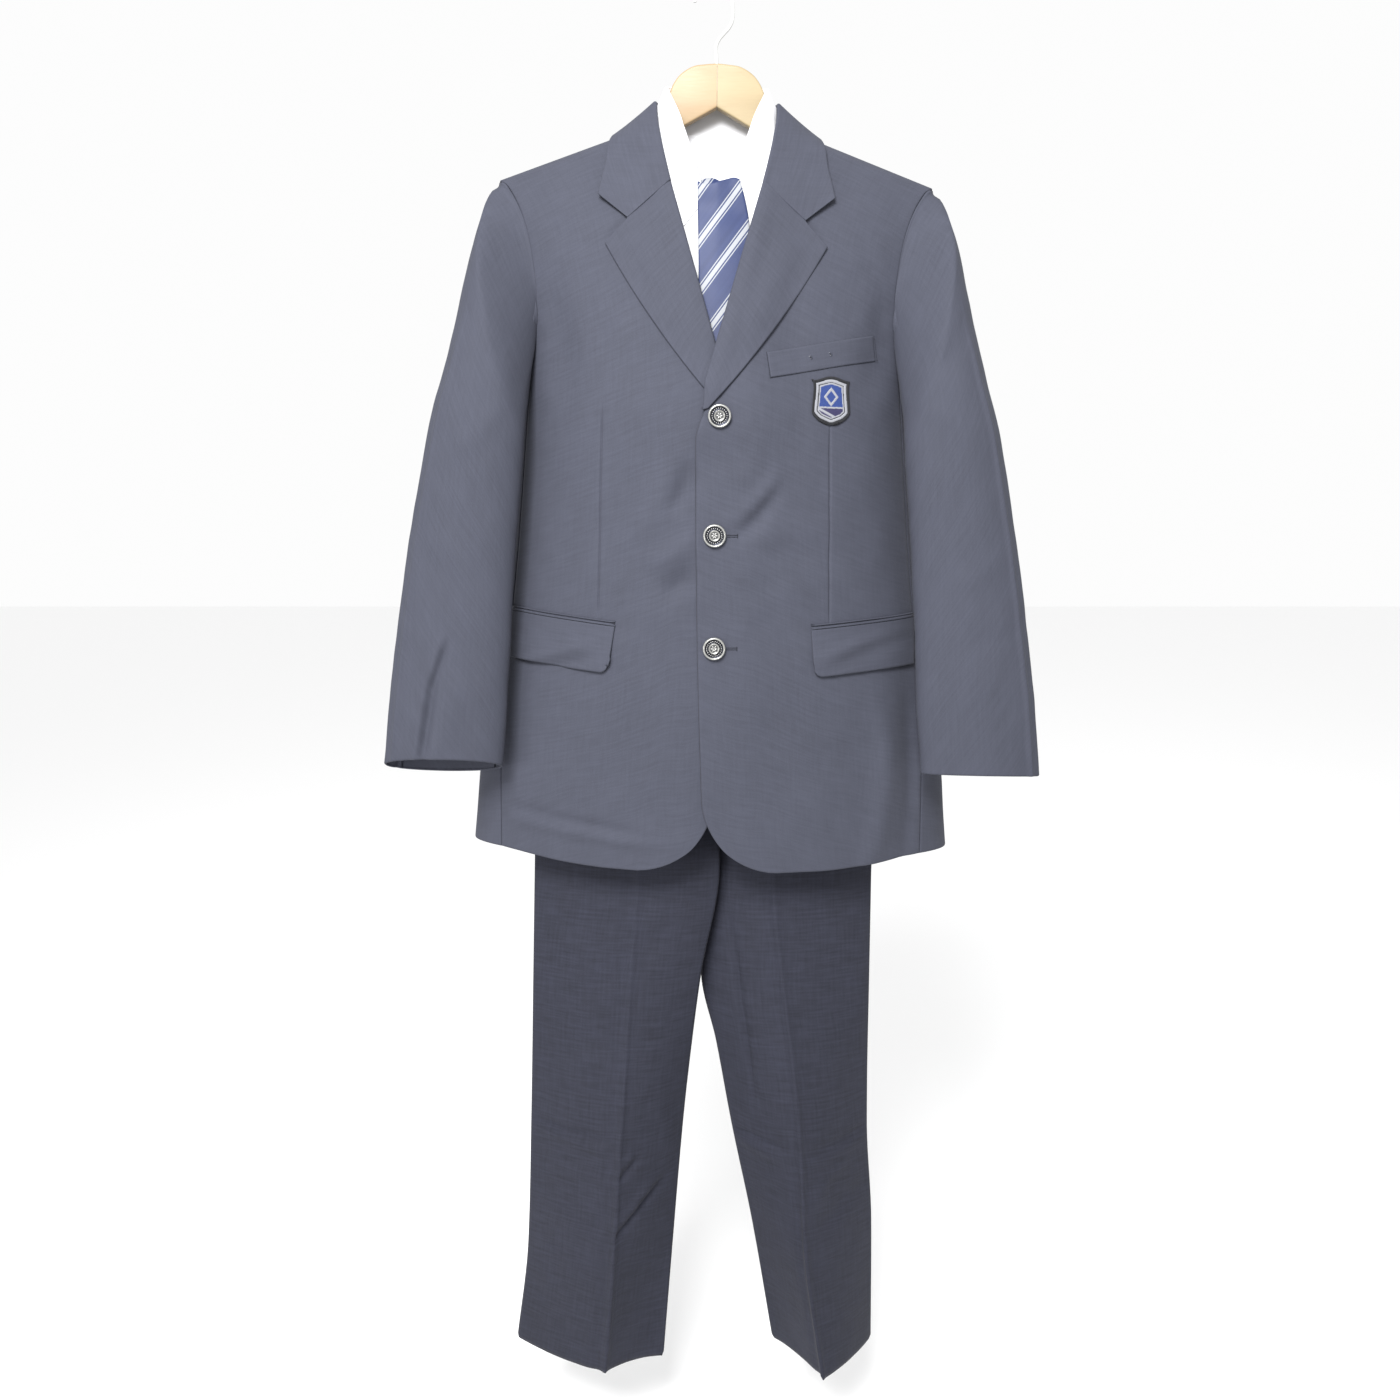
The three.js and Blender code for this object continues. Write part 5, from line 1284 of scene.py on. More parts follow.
def straight_map(points):
    """The tie's own map, which doesn't follow the waves of its top edge."""
    return np.stack([points[..., 0] - 1.75, TIE_TOP - points[..., 2]], axis=-1)


def tie_surface(x, z, out):
    over_collar = 3 * smooth((z + 240) / 30)
    return np.stack([x, front_y(x, z, SHIRT) - SHIRT_FRONT_LIFT - over_collar - out, z], axis=-1)


def shape_blade():
    u, v = grid_of(stations(16, (), 0.08), stations(130, (), 0.006))
    wave = np.interp(u, (0, 0.2, 0.5, 0.85, 1), (-5, -8.5, -5, -0.5, -2))
    z = lerp(-206, -740 - 50 * (1 - np.abs(2 * u - 1)), v) + wave * (1 - v) ** 3
    x = lerp(TIE["left"](z), TIE["right"](z), u)
    curl = 1.5 * smooth((u - 0.7) / 0.3) * smooth(1 - v * 12) + 0.8 * ripple(x, z, 81, 50)
    points = tie_surface(x, z, 5 + curl)
    return points + facing(points, -1) * -turned_in(points, (1.2, 1.2, 0, 1.2))[..., None]


def shape_tail():
    u, v = grid_of(stations(10, (), 0.1), stations(60))
    z = lerp(-209, -720, v) + 3 * np.sin(2 * np.pi * u) * (1 - v)
    return tie_surface(lerp(TIE["left"](z) + 4, TIE["right"](z) - 4 - 14 * v, u), z, 2.4)


for name, points in (
    ("tie_blade", roll_start(shape_blade(), -1, 1.6, 160, axis=0)),
    ("tie_tail", shape_tail()),
):
    piece = cloth(f"{name}_cloth", points, TIE_WALL, -1, tie_cloth, flat=straight_map(points))
    hang(piece, name, "tie_cloth", points, ["shirt_front_l"], held="laid")

# %% [markdown]
# ## Trousers
#
# Each leg is a flat tube of two panels, pressed to a crease at the front and the back. The
# trousers hang plumb from their clips, so nothing here leans. Pressed folds across the knee and
# small crumples below it are laid as on the blazer.

# %% Leg tables
LEG_COLUMNS = ["z", "outer", "outer_y", "crease", "crease_y", "inner", "inner_y", "seat", "back_y"]
LEGS = {
    1: table(LEG_COLUMNS, [
        (-606, 196, 0, 98, -5, 4.5, -10, 20, 9), (-700, 193, 0, 82, -20, 4.6, -14, 26, 18),
        (-815, 184, 0, 67, -32, 5, -8, 1.5, 26), (-930, 176, 0, 66, -42, -14, 2, 0.3, 34),
        (-1041, 176, 1, 77, -45, -12, 0, 0.3, 36), (-1121, 176, 3, 87, -50, 5, 0, 0.3, 38),
        (-1216, 177, 6, 96.5, -54, 22, 2, 0.3, 40), (-1342, 185, 12, 104, -58, 47, 8, 0.3, 45),
        (-1495, 188, 20, 125, -62, 72, 20, 0.3, 50),
    ]),
    -1: table(LEG_COLUMNS, [
        (-606, -188, 0, -90, -5, 4.1, -10, 20, 9), (-700, -190, 0, -84, -22, 4, -15, 27, 18),
        (-815, -192, 0, -78, -33, 3.8, -14, 1.5, 26), (-910, -195, 0, -79, -40, 8.6, -30, 0.3, 34),
        (-1036, -199, 1, -88, -44, -12, -25, 0.3, 36), (-1126, -202, 4, -94, -48, -23, -15, 0.3, 38),
        (-1213, -205, 6, -100, -53, -32, -7, 0.3, 40), (-1369, -212, 12, -110, -59, -45, -10, 0.3, 45),
        (-1495, -228, 21, -120, -50, -55, -15, 0.3, 50),
    ]),
}
LEG_FOLD, LEG_BOW, TROUSER_WALL = 3, 6, 1.5
PRESSED, BESIDE_PRESSED = 1.9, 1.5  # how far the crease stands out, and how deep the cloth sinks beside it
LEG_FOLDS = {
    # from x, from z, to x, to z, half width, height
    1: [
        (178, -1222, 104, -1234, 4, -2.0, 0), (174, -1234, 108, -1246, 7, 1.5, 0),
        (90, -1150, 64, -1210, 10, 1.0), (128, -1260, 150, -1300, 8, -1.6, 0),
        (26, -1222, 84, -1230, 4, -3.4, 0), (30, -1233, 80, -1241, 7, 2.2, 0),
        (30, -1060, 60, -1180, 14, 1.2), (150, -960, 160, -1120, 18, 1.6),
        (20, -930, 70, -960, 14, -1.4), (20, -978, 47, -1176, 3.2, -4.4, 0),
        (110, -1300, 150, -1250, 9, 1.8), (120, -1330, 170, -1290, 12, -1.5),
    ],
    -1: [
        (-102, -1262, -80, -1239, 3.2, -3.6, 0), (-104, -1250, -86, -1232, 4, 2.2, 0),
        (-110, -1333, -50, -1270, 4, -4.4, 0), (-106, -1318, -62, -1266, 5, 2.6, 0),
        (-206, -1212, -112, -1219, 4, -3.4, 0), (-190, -1222, -106, -1229, 6, 2.8, 0),
        (-112, -1290, -134, -1330, 8, -1.8, 0), (-60, -1180, -50, -1260, 10, 1.4),
        (-150, -1000, -140, -1160, 18, 1.4), (-40, -960, -76, -1010, 14, -1.4),
        (-140, -1260, -190, -1330, 14, 1.6),
    ],
}


def leg_half(share, edge, edge_y, crease, crease_y, fold, bow, out):
    turned = np.clip(share / 0.03, 0, 1)
    bent = fold * np.sqrt(1 - (1 - turned) ** 2)
    y = lerp(edge_y, crease_y - out * fold, share) + out * (bent + bow * 4 * share * (1 - share))
    return lerp(edge, crease, share), y


def shape_leg(sign, front):
    leg, out = LEGS[sign], -1 if front else 1
    u, drop = grid_of(stations(54, (0.5, 0.4925, 0.5075, 0.004, 0.996), 0.03), np.linspace(606.3, 1495, 200))
    z = -drop
    inside = smooth((-700 - z) / 115) * LEG_FOLD
    bow_inside = lerp(LEG_BOW, -8, smooth((-1216 - z) / 279)) if front else LEG_BOW
    crease, crease_y = leg["crease"](z), leg["crease_y" if front else "back_y"](z)
    inner_y = leg["inner_y"](z) + (0 if front else leg["seat"](z))
    outer_y = leg["outer_y"](z) + out * SEAM / 2
    to_crease, from_crease = np.clip(2 * u, 0, 1), np.clip(2 - 2 * u, 0, 1)
    outer = leg_half(to_crease, leg["outer"](z), outer_y, crease, crease_y, LEG_FOLD, LEG_BOW, out)
    inner = leg_half(from_crease, leg["inner"](z), inner_y, crease, crease_y, inside, bow_inside, out)
    x, y = (np.where(u < 0.5, a, b) for a, b in zip(outer, inner))
    points = np.stack([x, y, z], axis=-1)
    near_crease = np.exp(-((np.abs(u - 0.5) / 0.02) ** 2)) * smooth((-620 - z) / 60)
    rows = LEG_FOLDS[sign]
    if not front:
        rows = [(r[0] * 0.9, r[1] + 20, r[2] * 0.95, r[3] + 10, r[4] * 1.4, r[5] * 0.6) for r in rows]
    lift = folds(x, z, rows) + 0.9 * ripple(x, z, 91 + sign + 5 * out, 110) + crinkle(x, z, 191)
    if front:
        lift -= BESIDE_PRESSED * np.exp(-(((u - 0.5 - 0.045 * sign) / 0.03) ** 2)) * smooth((-640 - z) / 200)
    lift *= smooth(np.minimum(u, 1 - u) / 0.05)
    facing_out = facing(points, 1)
    facing_out = facing_out * np.where(facing_out[..., 1:2] * out < 0, -1, 1)
    lift = lift + PRESSED * near_crease - turned_in(points, (0, 0, 0.6, 1.4))
    return points + facing_out * lift[..., None]


for sign, tag in SIDES:
    for part, front in (("front", True), ("back", False)):
        name = f"trouser_{part}{tag}"
        points = shape_leg(sign, front)
        middle = points[100]
        rightward = middle[-1, 0] > middle[0, 0]
        outward = 1 if rightward != front else -1
        piece = cloth(f"{name}_cloth", points, TROUSER_WALL, outward, trouser_cloth, leaning=False)
        hang(piece, name, "trouser_cloth", points, ["waistband"])

# %% Waistband
def shape_waistband():
    left, right = LEGS[-1]["outer"](-606), LEGS[1]["outer"](-606)
    turn, v = grid_of(np.linspace(0, 1, 241)[:-1], stations(9, (), 0.06))
    across = np.cos(2 * np.pi * turn)
    x = (left + right) / 2 + (right - left) / 2 * across
    pinch = 1 - smooth((np.abs(np.abs(x - CENTRE_X) - 112) - 13) / 24)
    y = np.sqrt(np.clip(1 - across**8, 0, 1)) * (10 - 6 * pinch) * np.where(turn < 0.5, -1, 1)
    return np.stack([x, y, -572 - 34 * v], axis=-1)


points = shape_waistband()
piece = cloth("waistband_cloth", points, TROUSER_WALL, 1, trouser_cloth, ring=True, leaning=False)
hang(piece, "waistband", "trouser_cloth", points, ["trouser_clip_l", "trouser_clip_r"], ring=True)

# %% [markdown]
# ## Badge
#
# A crest badge is a felt patch under satin stitch, where each shape is a raised, rounded band of
# thread. A picture of it would lie flat, so the fine grid of the patch is lifted band by band,
# and the same steps write a thread colour at each point. The crest is a plain one of its own:
# a silver edge, a lozenge over a blue field, and a slanting bar over a violet one.

# %% Badge
BADGE = {"x": 115, "z": -421, "width": 43, "height": 46}
BADGE_WIDTH = table(["v", "width"], [
    (0, 0.9), (0.15, 0.86), (0.45, 0.9), (0.7, 0.94), (0.88, 0.66), (1, 0.12),
])
FELT, SILVER_THREAD = (0.006, 0.0065, 0.009), (0.25, 0.255, 0.28)
BLUE_THREAD, VIOLET_THREAD = (0.014, 0.036, 0.155), (0.02, 0.017, 0.062)


def shape_badge():
    u, v = grid_of(np.linspace(0, 1, 109), np.linspace(0, 1, 115))
    across = (u - 0.5) * BADGE["width"] * BADGE_WIDTH["width"](v)
    up = BADGE["height"] * (0.5 - v) + 2 * np.cos(2 * np.pi * (u - 0.5)) * (1 - v)
    spots = np.stack([across, up], axis=-1)
    rim = np.concatenate([spots[0], spots[-1], spots[:, 0], spots[:, -1]])
    edge = np.array([np.linalg.norm(rim[None] - row[:, None], axis=2).min(1) for row in spots])
    split = -5.5
    colour = np.where((up > split)[..., None], BLUE_THREAD, VIOLET_THREAD)
    lift = 0.25 + 0 * up
    bands = [
        # distance from the band's middle, half its width, height, thread
        (np.abs(np.abs(across) + np.abs(up - 5) * 0.8 - 6.2) / 1.2, 1.15, 0.55, SILVER_THREAD),
        (np.abs(across * 0.5 + up + 13) / 1.12, 1.2, 0.5, SILVER_THREAD),
        (np.abs(up - split), 0.8, 0.5, SILVER_THREAD),
        (np.abs(edge - 7.2), 0.7, 0.45, SILVER_THREAD),
        (np.maximum(edge - 6.5, 0) * 9, 0.9, 0.05, FELT),
        (np.abs(edge - 4.35), 1.5, 0.7, SILVER_THREAD),
        (np.maximum(edge - 3.1, 0) * 9, 0.9, 0.05, FELT),
        (np.abs(edge - 1.3), 1.3, 0.95, FELT),
    ]
    for away, half, height, thread in bands:
        inside = away < half
        round_top = np.sqrt(np.clip(1 - (away / half) ** 2, 0, 1))
        colour = np.where(inside[..., None], thread, colour)
        lift = np.where(inside, height * np.maximum(round_top, 0.15), lift)
    points = on_front(1, BADGE["x"] + across, BADGE["z"] + up, 1.2 + lift, (0.5, 0.5, 0.5, 0.5))
    return points, colour


points, threads = shape_badge()
badge_cloth = cloth_finish(
    "badge_thread", (1, 1, 1), rib=0.0007, mottle=0.2, sheen=0.0, bump=(0.6, 0.0003), gloss=0.5)
from_points(badge_cloth, "thread", "Color", "Colour")
piece = cloth("badge_patch", points, 1.2, -1, badge_cloth)
layer = piece.data.color_attributes.new(name="thread", type="FLOAT_COLOR", domain="POINT")
layer.data.foreach_set("color", np.concatenate([threads, np.ones_like(threads[..., :1])], axis=-1).ravel())
hang(piece, "badge", "badge_cloth", points, ["jacket_front_l"], held="laid")

# %% [markdown]
# ## Buttons
#
# A blazer button is stamped metal: a bright rolled rim, a recess that has been darkened, and a
# raised middle. Its section is turned round its axis. The ring of beads and the rosette repeat,
# so Geometry Nodes place them: one tree puts a scaled ball at each corner of a circle.

# %% Metal finish
def build_metal_grain_patina_and_painted_shade():
    tree, given, result = new_group(
        "metal_grain_patina_and_painted_shade",
        [("Vector", VECTOR, None), ("Bright", COLOUR, None), ("Dark", COLOUR, None),
         ("Patina and painted shade", FLOAT, 0.0), ("Scale", FLOAT, 900.0)],
        [("Color", COLOUR), ("Roughness", FLOAT), ("Height", FLOAT)],
    )
    grain = noise(tree, given.outputs["Vector"], given.outputs["Scale"], 3.0)
    # the darkness written at the points pulls the colour to Dark: patina on a button, painted shade in a pin
    # hole
    stain_and_painted_shade = maths(tree, "MULTIPLY_ADD", grain, 0.35, given.outputs["Patina and painted shade"])
    stain_and_painted_shade = maths(tree, "MINIMUM", maths(tree, "SUBTRACT", stain_and_painted_shade, 0.12), 1.0)
    shade = mixed(tree, stain_and_painted_shade, given.outputs["Bright"], given.outputs["Dark"])
    tree.links.new(shade, result.inputs["Color"])
    tree.links.new(maths(tree, "MULTIPLY_ADD", grain, 0.16, 0.24), result.inputs["Roughness"])
    tree.links.new(grain, result.inputs["Height"])
    return tree


metal_grain_patina_and_painted_shade = build_metal_grain_patina_and_painted_shade()


def metal_finish(name, bright, dark, metallic, scale=900.0, *, patina_and_painted_shade=False, gloss=0.5):
    """Metal or paint; where the points of a piece say so, it takes the dark colour: patina on a button,
    painted shade in a pin hole.
    """
    values = {"Bright": (*bright, 1), "Dark": (*dark, 1), "Scale": scale}
    on_shader = {"Metallic": metallic, "Specular IOR Level": gloss}
    material = finish(name, metal_grain_patina_and_painted_shade, values, (0.15, 0.0002), on_shader, "place")
    if patina_and_painted_shade:
        from_points(material, "patina_and_painted_shade", "Fac", "Patina and painted shade")
    return material


button_silver = metal_finish("button_silver", (0.42, 0.42, 0.4), (0.012, 0.013, 0.02), 0.8, patina_and_painted_shade=True)
motif_silver = metal_finish("motif_silver", (0.36, 0.36, 0.35), (0.1, 0.1, 0.11), 0.8)
satin_steel = metal_finish("satin_steel", (0.32, 0.33, 0.34), (0.2, 0.2, 0.21), 1.0, 300.0)
hook_enamel = metal_finish("hook_enamel", (0.5, 0.5, 0.49), (0.36, 0.36, 0.35), 0.0, 120.0)
print("metal finishes ready")

# %% Turned pieces
def turned(name, profile, centre, material, sides=72):
    """A closed turned piece facing the front; each profile row is (radius, height, how dark: patina on a
    button, painted shade in a pin hole).
    """
    rows = np.array(profile, dtype=float)
    angles = np.linspace(0, 2 * np.pi, sides + 1)[:-1]
    x, y, z = centre
    verts = [(x + r * np.cos(a), y - h, z + r * np.sin(a)) for r, h, _ in rows for a in angles]
    faces = []
    for start in range(0, (len(rows) - 1) * sides, sides):
        for i in range(sides):
            k = (i + 1) % sides
            faces.append((start + i, start + k, start + sides + k, start + sides + i))
    faces += [tuple(range(sides))[::-1], tuple(range((len(rows) - 1) * sides, len(rows) * sides))]
    mesh = bpy.data.meshes.new(name)
    mesh.from_pydata((np.array(verts) * MM).tolist(), [], faces)
    patina_and_painted_shade = mesh.attributes.new("patina_and_painted_shade", "FLOAT", "POINT")
    patina_and_painted_shade.data.foreach_set("value", np.repeat(rows[:, 2], sides))
    mesh.shade_smooth()
    mesh.set_sharp_from_angle(angle=math.radians(50))
    mesh.materials.append(material)
    return add_piece(name, mesh)


def belongs(piece, slot, *nodes):
    """Ride on the one body and stand for any nodes named, which are hidden."""
    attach(piece, "root")
    if nodes:
        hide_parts(*nodes)
    print(piece.name, len(piece.data.vertices), "points")
    return piece


# %% Geometry Nodes tools
def socket_tree(name, inputs):
    tree = bpy.data.node_groups.new(name, "GeometryNodeTree")
    for title, kind in inputs:
        tree.interface.new_socket(title, in_out="INPUT", socket_type=kind)
    tree.interface.new_socket("Geometry", in_out="OUTPUT", socket_type="NodeSocketGeometry")
    return tree, tree.nodes.new("NodeGroupInput"), tree.nodes.new("NodeGroupOutput")


def finish_tree(tree, given, result, geometry):
    real = node(tree, "GeometryNodeRealizeInstances", {0: geometry})
    soft = node(tree, "GeometryNodeSetShadeSmooth", {0: real.outputs[0]})
    dressed = node(tree, "GeometryNodeSetMaterial", {
        "Geometry": soft.outputs[0], "Material": given.outputs["Material"]})
    tree.links.new(dressed.outputs[0], result.inputs["Geometry"])
    return tree


def run_tree(name, mesh, tree, values):
    """Run a tree on a mesh and keep its result as a plain mesh object."""
    host = add_piece(name, mesh)
    step = host.modifiers.new("build", "NODES")
    step.node_group = tree
    for item in tree.interface.items_tree:
        if item.in_out == "INPUT" and item.name in values:
            step[item.identifier] = values[item.name]
    bpy.context.view_layer.update()
    made = bpy.data.meshes.new_from_object(host.evaluated_get(bpy.context.evaluated_depsgraph_get()))
    host.modifiers.remove(step)
    host.data = made
    made.name = name
    return host


# %% Beads and buttons
def build_ring():
    tree, given, result = socket_tree("ring_of_beads", [
        ("Geometry", "NodeSocketGeometry"), ("Radius", "NodeSocketFloat"), ("Count", "NodeSocketInt"),
        ("Size", "NodeSocketVector"), ("Centre", "NodeSocketVector"), ("Material", "NodeSocketMaterial")])
    circle = node(tree, "GeometryNodeMeshCircle", {
        "Vertices": given.outputs["Count"], "Radius": given.outputs["Radius"]})
    ball = node(tree, "GeometryNodeMeshIcoSphere", {"Radius": 1.0, "Subdivisions": 3})
    spot = node(tree, "GeometryNodeInputPosition")
    turn = node(tree, "FunctionNodeAlignRotationToVector", {"Vector": spot.outputs[0]}, axis="X")
    beads = node(tree, "GeometryNodeInstanceOnPoints", {
        "Points": circle.outputs[0], "Instance": ball.outputs[0], "Rotation": turn.outputs[0],
        "Scale": given.outputs["Size"]})
    stood = node(tree, "GeometryNodeTransform", {
        "Geometry": beads.outputs[0], "Translation": given.outputs["Centre"],
        "Rotation": (math.pi / 2, 0, 0)})
    return finish_tree(tree, given, result, stood.outputs[0])


BUTTONS = [(4.2, -438), (0.4, -554), (0.9, -666)]
BUTTON_RADIUS = 11.5
BUTTON_SECTION = [
    # radius, height, how aged
    (0.4, 0, 0), (9.4, 0, 0), (10.6, 0.35, 0), (11.3, 1.1, 0), (11.5, 2.1, 0), (11.35, 3.2, 0),
    (10.9, 4.0, 0), (10.35, 4.4, 0), (9.85, 4.35, 0), (9.45, 3.95, 0), (9.2, 3.4, 0.6), (8.8, 3.1, 1),
    (7.2, 3.05, 1), (5.9, 3.1, 1), (5.5, 3.3, 0.7), (5.2, 3.75, 0), (4.8, 4.0, 0), (4.4, 3.85, 0),
    (4.1, 3.5, 0.5), (3.4, 3.5, 0.75), (2.0, 3.65, 0.75), (0.4, 3.7, 0.75),
]
BUTTON_RINGS = [
    # part, radius of the ring, how many, size of one, height of the ring
    ("beads", 7.3, 22, (0.62, 0.62, 0.5), 3.15),
    ("rosette", 1.9, 6, (1.6, 0.8, 0.8), 3.8),
]
ring_of_beads = build_ring()
for number, (x, z) in enumerate(BUTTONS, 1):
    around = np.radians(np.arange(0, 360, 30))
    rim_x = x + np.append(0, BUTTON_RADIUS * np.cos(around))
    rim_z = z + np.append(0, BUTTON_RADIUS * np.sin(around))
    seat = (front_surface(1, rim_x, rim_z)[:, 1] - front_fold_lift(1, rim_x, rim_z)).min() - SEAM
    centre = place(np.array([x, seat, z]))
    metal = turned(f"button_{number}_metal", BUTTON_SECTION, centre, button_silver)
    belongs(metal, "button_metal", f"button_{number}")
    for part, radius, count, size, height in BUTTON_RINGS:
        middle = (centre - np.array([0, height, 0])) * MM
        belongs(run_tree(f"button_{number}_{part}", bpy.data.meshes.new("start"), ring_of_beads, {
            "Radius": radius * MM, "Count": count, "Size": [s * MM for s in size], "Centre": middle.tolist(),
            "Material": motif_silver}), "button_metal")

# %% [markdown]
# ## Stitches
#
# A buttonhole is two close rows of silk with a bar across the end, and the welt is caught down
# at its ends the same way. One tree lays a stitch, which is a stretched ball, at even steps
# along any path. A pin badge has left two holes in the welt, each with its edge pushed up and
# its dark middle painted shade.

# %% Stitches
def build_stitches():
    tree, given, result = socket_tree("row_of_stitches", [
        ("Geometry", "NodeSocketGeometry"), ("Pitch", "NodeSocketFloat"), ("Length", "NodeSocketFloat"),
        ("Width", "NodeSocketFloat"), ("Material", "NodeSocketMaterial")])
    path = node(tree, "GeometryNodeMeshToCurve", {0: given.outputs["Geometry"]})
    steps = node(tree, "GeometryNodeCurveToPoints", {
        "Curve": path.outputs[0], "Length": given.outputs["Pitch"]}, mode="LENGTH")
    ball = node(tree, "GeometryNodeMeshIcoSphere", {"Radius": 0.5, "Subdivisions": 2})
    width, length = given.outputs["Width"], given.outputs["Length"]
    size = node(tree, "ShaderNodeCombineXYZ", {0: width, 1: width, 2: length})
    stitches = node(tree, "GeometryNodeInstanceOnPoints", {
        "Points": steps.outputs["Points"], "Instance": ball.outputs[0], "Rotation": steps.outputs["Rotation"],
        "Scale": size.outputs[0]})
    return finish_tree(tree, given, result, stitches.outputs[0])


row_of_stitches = build_stitches()


def sew(name, paths, material, slot, pitch, length, width):
    verts, edges = [], []
    for path in paths:
        first = len(verts)
        verts += (path * MM).tolist()
        edges += [(k, k + 1) for k in range(first, len(verts) - 1)]
    mesh = bpy.data.meshes.new(name)
    mesh.from_pydata(verts, edges, [])
    return belongs(run_tree(name, mesh, row_of_stitches, {
        "Pitch": pitch * MM, "Length": length * MM, "Width": width * MM, "Material": material}), slot)


def line_on_front(sign, start, end, out, count=9):
    x, z = np.linspace(start[0], end[0], count), np.linspace(start[1], end[1], count)
    line = front_surface(sign, x, z, out)
    line[:, 1] -= front_fold_lift(sign, x, z)
    return place(line)


silk = cloth_finish("buttonhole_silk", (0.013, 0.014, 0.019), rib=0.0004, mottle=0.1, by="place")
HOLE_HALF, HOLE_START, HOLE_END, BAR_HALF = 0.9, 8, 22.5, 1.9
for number, (x, z) in list(enumerate(BUTTONS, 1))[1:]:
    start_x, end_x = x + HOLE_START, x + HOLE_END
    rows = [line_on_front(1, (start_x, z + half), (end_x, z + half), 0.2) for half in (HOLE_HALF, -HOLE_HALF)]
    bar = line_on_front(1, (end_x + 0.4, z + BAR_HALF), (end_x + 0.4, z - BAR_HALF), 0.3)
    sew(f"buttonhole_{number}", [*rows, bar], silk, "suiting", 0.55, 0.75, 0.75)

# %% Welt ends and pin holes
def welt_edge(along, down, out=1.9):
    x = WELT["inner"] + along + WELT["slant"] * down
    z = WELT["z"] + WELT["rise"] * (x - WELT["inner"]) - WELT["height"] * down
    line = front_surface(1, x, z, out + side_room(x))
    line[..., 1] -= front_fold_lift(1, x, z)
    return place(line)


welt_length = WELT["outer"] - WELT["inner"]
ends = [welt_edge(np.full(9, a), np.linspace(0.02, 0.98, 9), 1.2) for a in (-0.4, welt_length + 0.4)]
knots = [welt_edge(np.linspace(a - 1.8, a + 1.2, 5), np.full(5, 0.98), 1.5) for a in (1, welt_length)]
sew("welt_stitches", [*ends, *knots], silk, "suiting", 1.6, 1.3, 0.45)
# radius, height, how dark; the middle of the hole is painted shade
PIN_SECTION = [
    (2.6, -0.6, 0), (2.5, -0.1, 0), (2.0, 0.12, 0), (1.5, 0.28, 0), (1.1, 0.25, 0.4), (0.8, 0.0, 1),
    (0.1, -0.1, 1),
]
PIN_HOLES = [(93.4, -378.9), (113.1, -374.7)]
# the dark colour is painted shade at the bottom of each pin hole
pin_cloth = metal_finish(
    "pin_hole_cloth_with_painted_shade", (0.036, 0.0385, 0.053), (0.002, 0.002, 0.003), 0.0, 2500.0, patina_and_painted_shade=True, gloss=0.2)
for number, (x, z) in enumerate(PIN_HOLES, 1):
    spot = front_surface(1, np.array([x]), np.array([z]), 1.7)[0]
    spot[1] -= front_fold_lift(1, np.array([x]), np.array([z]))[0]
    belongs(turned(f"pin_hole_{number}", PIN_SECTION, place(spot), pin_cloth, 24), "suiting")

# %% [markdown]
# ## Hanger
#
# The hanger is two shaped boards of pale varnished beech, joined in the middle, with an
# enamelled wire hook. A board is a flat outline with thickness and a rounded edge, which a 2D
# curve's bevel makes evenly all round. The joined end stays square, so it is cut off flat.

# %% Wood finish
def build_grain():
    tree, given, result = new_group(
        "wood_grain",
        [("Vector", VECTOR, None), ("Light", COLOUR, None), ("Dark", COLOUR, None)],
        [("Color", COLOUR), ("Roughness", FLOAT), ("Height", FLOAT)],
    )
    vector = given.outputs["Vector"]
    drawn = drawn_out(tree, vector, (7.0, 60.0, 60.0))
    wander = noise(tree, drawn, 1.0, 4.0)
    spread = node(tree, "ShaderNodeSeparateXYZ", {0: drawn})
    ring_turn = maths(tree, "MULTIPLY_ADD", wander, 9.0, maths(tree, "MULTIPLY", spread.outputs[2], 3.0))
    rings = maths(tree, "SINE", ring_turn)
    pores = noise(tree, drawn_out(tree, vector, (60.0, 900.0, 900.0)), 1.0, 2.0)
    tone = maths(tree, "MULTIPLY_ADD", rings, 0.2, maths(tree, "MULTIPLY", pores, 0.55))
    colour = mixed(tree, tone, given.outputs["Light"], given.outputs["Dark"])
    tree.links.new(colour, result.inputs["Color"])
    tree.links.new(maths(tree, "MULTIPLY_ADD", pores, 0.2, 0.3), result.inputs["Roughness"])
    tree.links.new(pores, result.inputs["Height"])
    return tree


wood_grain = build_grain()


def wood_finish(name, light, dark):
    return finish(
        name, wood_grain, {"Light": (*light, 1), "Dark": (*dark, 1)}, (0.1, 0.0002),
        {"Specular IOR Level": 0.25, "Coat Weight": 0.06, "Coat Roughness": 0.25}, "place",
    )


# %% Hanger arms
def smooth_line(points, steps=6):
    """A curve through points that keeps its ends."""
    p = np.array([points[0], *points, points[-1]], dtype=float)
    line = []
    for before, a, b, after in zip(p, p[1:], p[2:], p[3:]):
        for t in np.arange(steps) / steps:
            squared = (2 * before - 5 * a + 4 * b - after) * t * t
            cubed = (3 * a - before - 3 * b + after) * t**3
            line.append(0.5 * (2 * a + (b - before) * t + squared + cubed))
    return [*line, p[-2]]


def mesh_of(shape):
    """The mesh that a curve makes."""
    host = add_piece(shape.name, shape)
    bpy.context.view_layer.update()
    mesh = bpy.data.meshes.new_from_object(host.evaluated_get(bpy.context.evaluated_depsgraph_get()))
    bpy.data.objects.remove(host)
    return mesh


ARM_THICKNESS, ARM_EDGE, ARM_Y, ARM_UNDER = 12, 2, -1.6, 8
ARM_JOIN_X = 0.15  # half the slit between the two boards
ARM_TOP = [
    (0.15, -83), (12, -84), (24, -86), (36, -93), (43.5, -102), (48, -112), (51.5, -126), (59, -141),
    (67, -150.5),
]
ARM_LOW = [
    (206, -207), (206, -213), (200, -218), (150, -199), (100, -180), (60, -158.7), (38.5, -147),
    (0.15, -126),
]


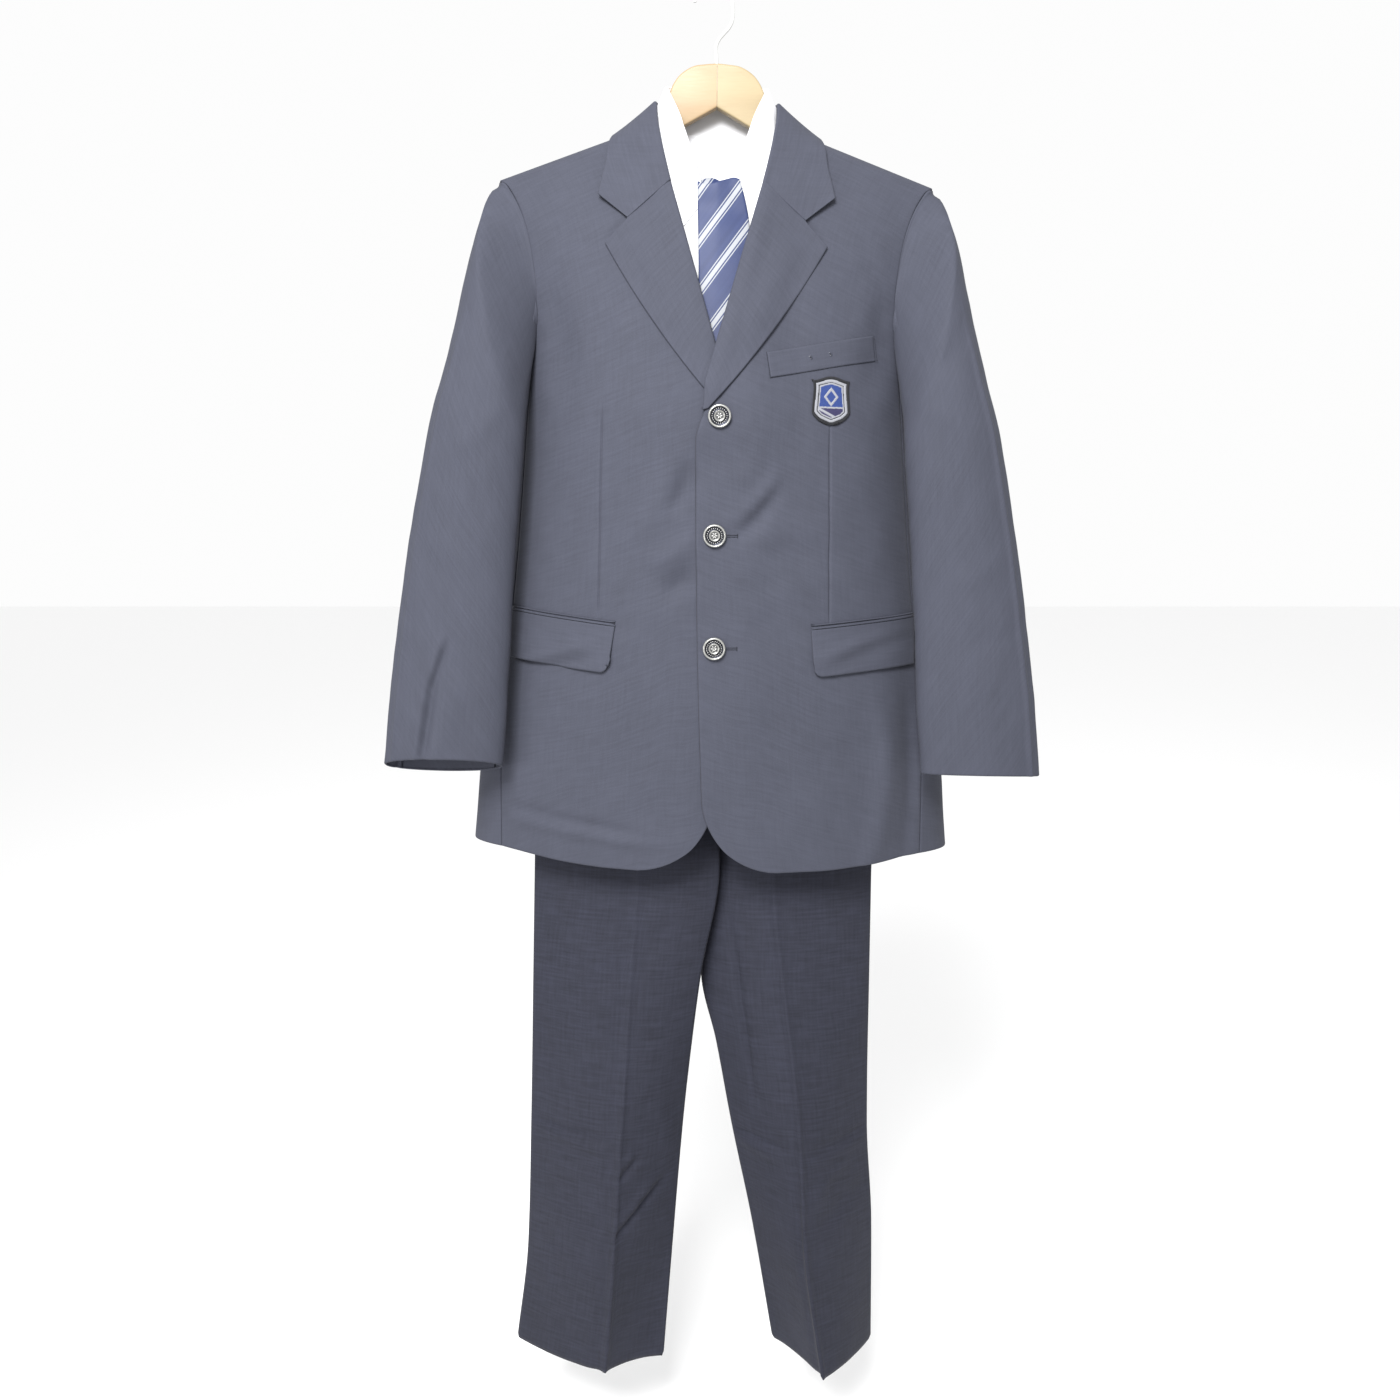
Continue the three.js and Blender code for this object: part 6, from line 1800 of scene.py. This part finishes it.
def shape_arm(sign, name, material):
    rise = [(x, float(shoulder_z(x)) - ARM_UNDER) for x in (80, 140, 200)]
    outline = [(-9, -83), *smooth_line(ARM_TOP)[1:], *rise, *ARM_LOW[:-1], (-9, -120.5)]
    shape = bpy.data.curves.new(name, "CURVE")
    shape.dimensions, shape.fill_mode = "2D", "BOTH"
    shape.extrude = (ARM_THICKNESS / 2 - ARM_EDGE) * MM
    shape.bevel_depth, shape.bevel_resolution, shape.offset = ARM_EDGE * MM, 5, -ARM_EDGE * MM
    spline = shape.splines.new("POLY")
    spline.points.add(len(outline) - 1)
    spline.use_cyclic_u = True
    for point, (x, z) in zip(spline.points, outline):
        point.co = (x * MM, z * MM, 0, 1)
    mesh = mesh_of(shape)
    work = bmesh.new()
    work.from_mesh(mesh)
    bmesh.ops.remove_doubles(work, verts=work.verts, dist=1e-6)
    everything = [*work.verts, *work.edges, *work.faces]
    cut = bmesh.ops.bisect_plane(
        work, geom=everything, plane_co=(ARM_JOIN_X * MM, 0, 0), plane_no=(-1, 0, 0), clear_outer=True)
    open_edges = [part for part in cut["geom_cut"] if isinstance(part, bmesh.types.BMEdge)]
    bmesh.ops.holes_fill(work, edges=open_edges, sides=0)
    for vert in work.verts:
        x, z, y = vert.co
        x, y, z = place(np.array([sign * x / MM, -y / MM + ARM_Y, z / MM])) * MM
        vert.co = (x, y, z)
    bmesh.ops.recalc_face_normals(work, faces=work.faces)
    work.to_mesh(mesh)
    work.free()
    mesh.materials.clear()
    mesh.materials.append(material)
    mesh.shade_smooth()
    mesh.set_sharp_from_angle(angle=math.radians(35))
    return add_piece(name, mesh)


BOARDS = {
    # the light and the dark of the grain; the board at the wearer's right is a little redder
    "_l": ((0.33, 0.262, 0.155), (0.275, 0.212, 0.122)),
    "_r": ((0.33, 0.238, 0.138), (0.275, 0.192, 0.106)),
}
for sign, tag in SIDES:
    wood = wood_finish("pale_wood" + tag, *BOARDS[tag])
    belongs(shape_arm(sign, "arm_wood" + tag, wood), "hanger_wood", "hanger_arm" + tag)

# %% Hook and steel
HOOK_RADIUS, CROWN_RADIUS, CROWN_Z = 1.8, 18.8, -17
HOOK_FOOT = [
    (4.2, -84.5), (3.5, -74), (3.2, -65.5), (6, -58.8), (11, -53), (16.2, -47.4), (19.4, -41),
    (20.3, -33), (19.7, -25),
]


def tube(name, path, radius, material):
    shape = bpy.data.curves.new(name, "CURVE")
    shape.dimensions, shape.use_fill_caps = "3D", True
    shape.bevel_depth, shape.bevel_resolution = radius * MM, 6
    spline = shape.splines.new("POLY")
    spline.points.add(len(path) - 1)
    for point, (x, z) in zip(spline.points, path):
        point.co = (x * MM, 0, z * MM, 1)
    shape.materials.append(material)
    mesh = mesh_of(shape)
    mesh.shade_smooth()
    return add_piece(name, mesh)


crown = [(CROWN_RADIUS * math.cos(a), CROWN_Z + CROWN_RADIUS * math.sin(a))
         for a in np.linspace(0.1, 1.1 * math.pi, 24)]
path = smooth_line([*HOOK_FOOT, *crown], 5)
belongs(tube("hook_wire", path, HOOK_RADIUS, hook_enamel), "hook_paint", "hook")
for name in ("clip_bar", "drop_wire_l", "drop_wire_r", "trouser_clip_l", "trouser_clip_r"):
    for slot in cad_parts[name].material_slots:
        slot.material = satin_steel
print("steel on the bar, the wires and the clips")
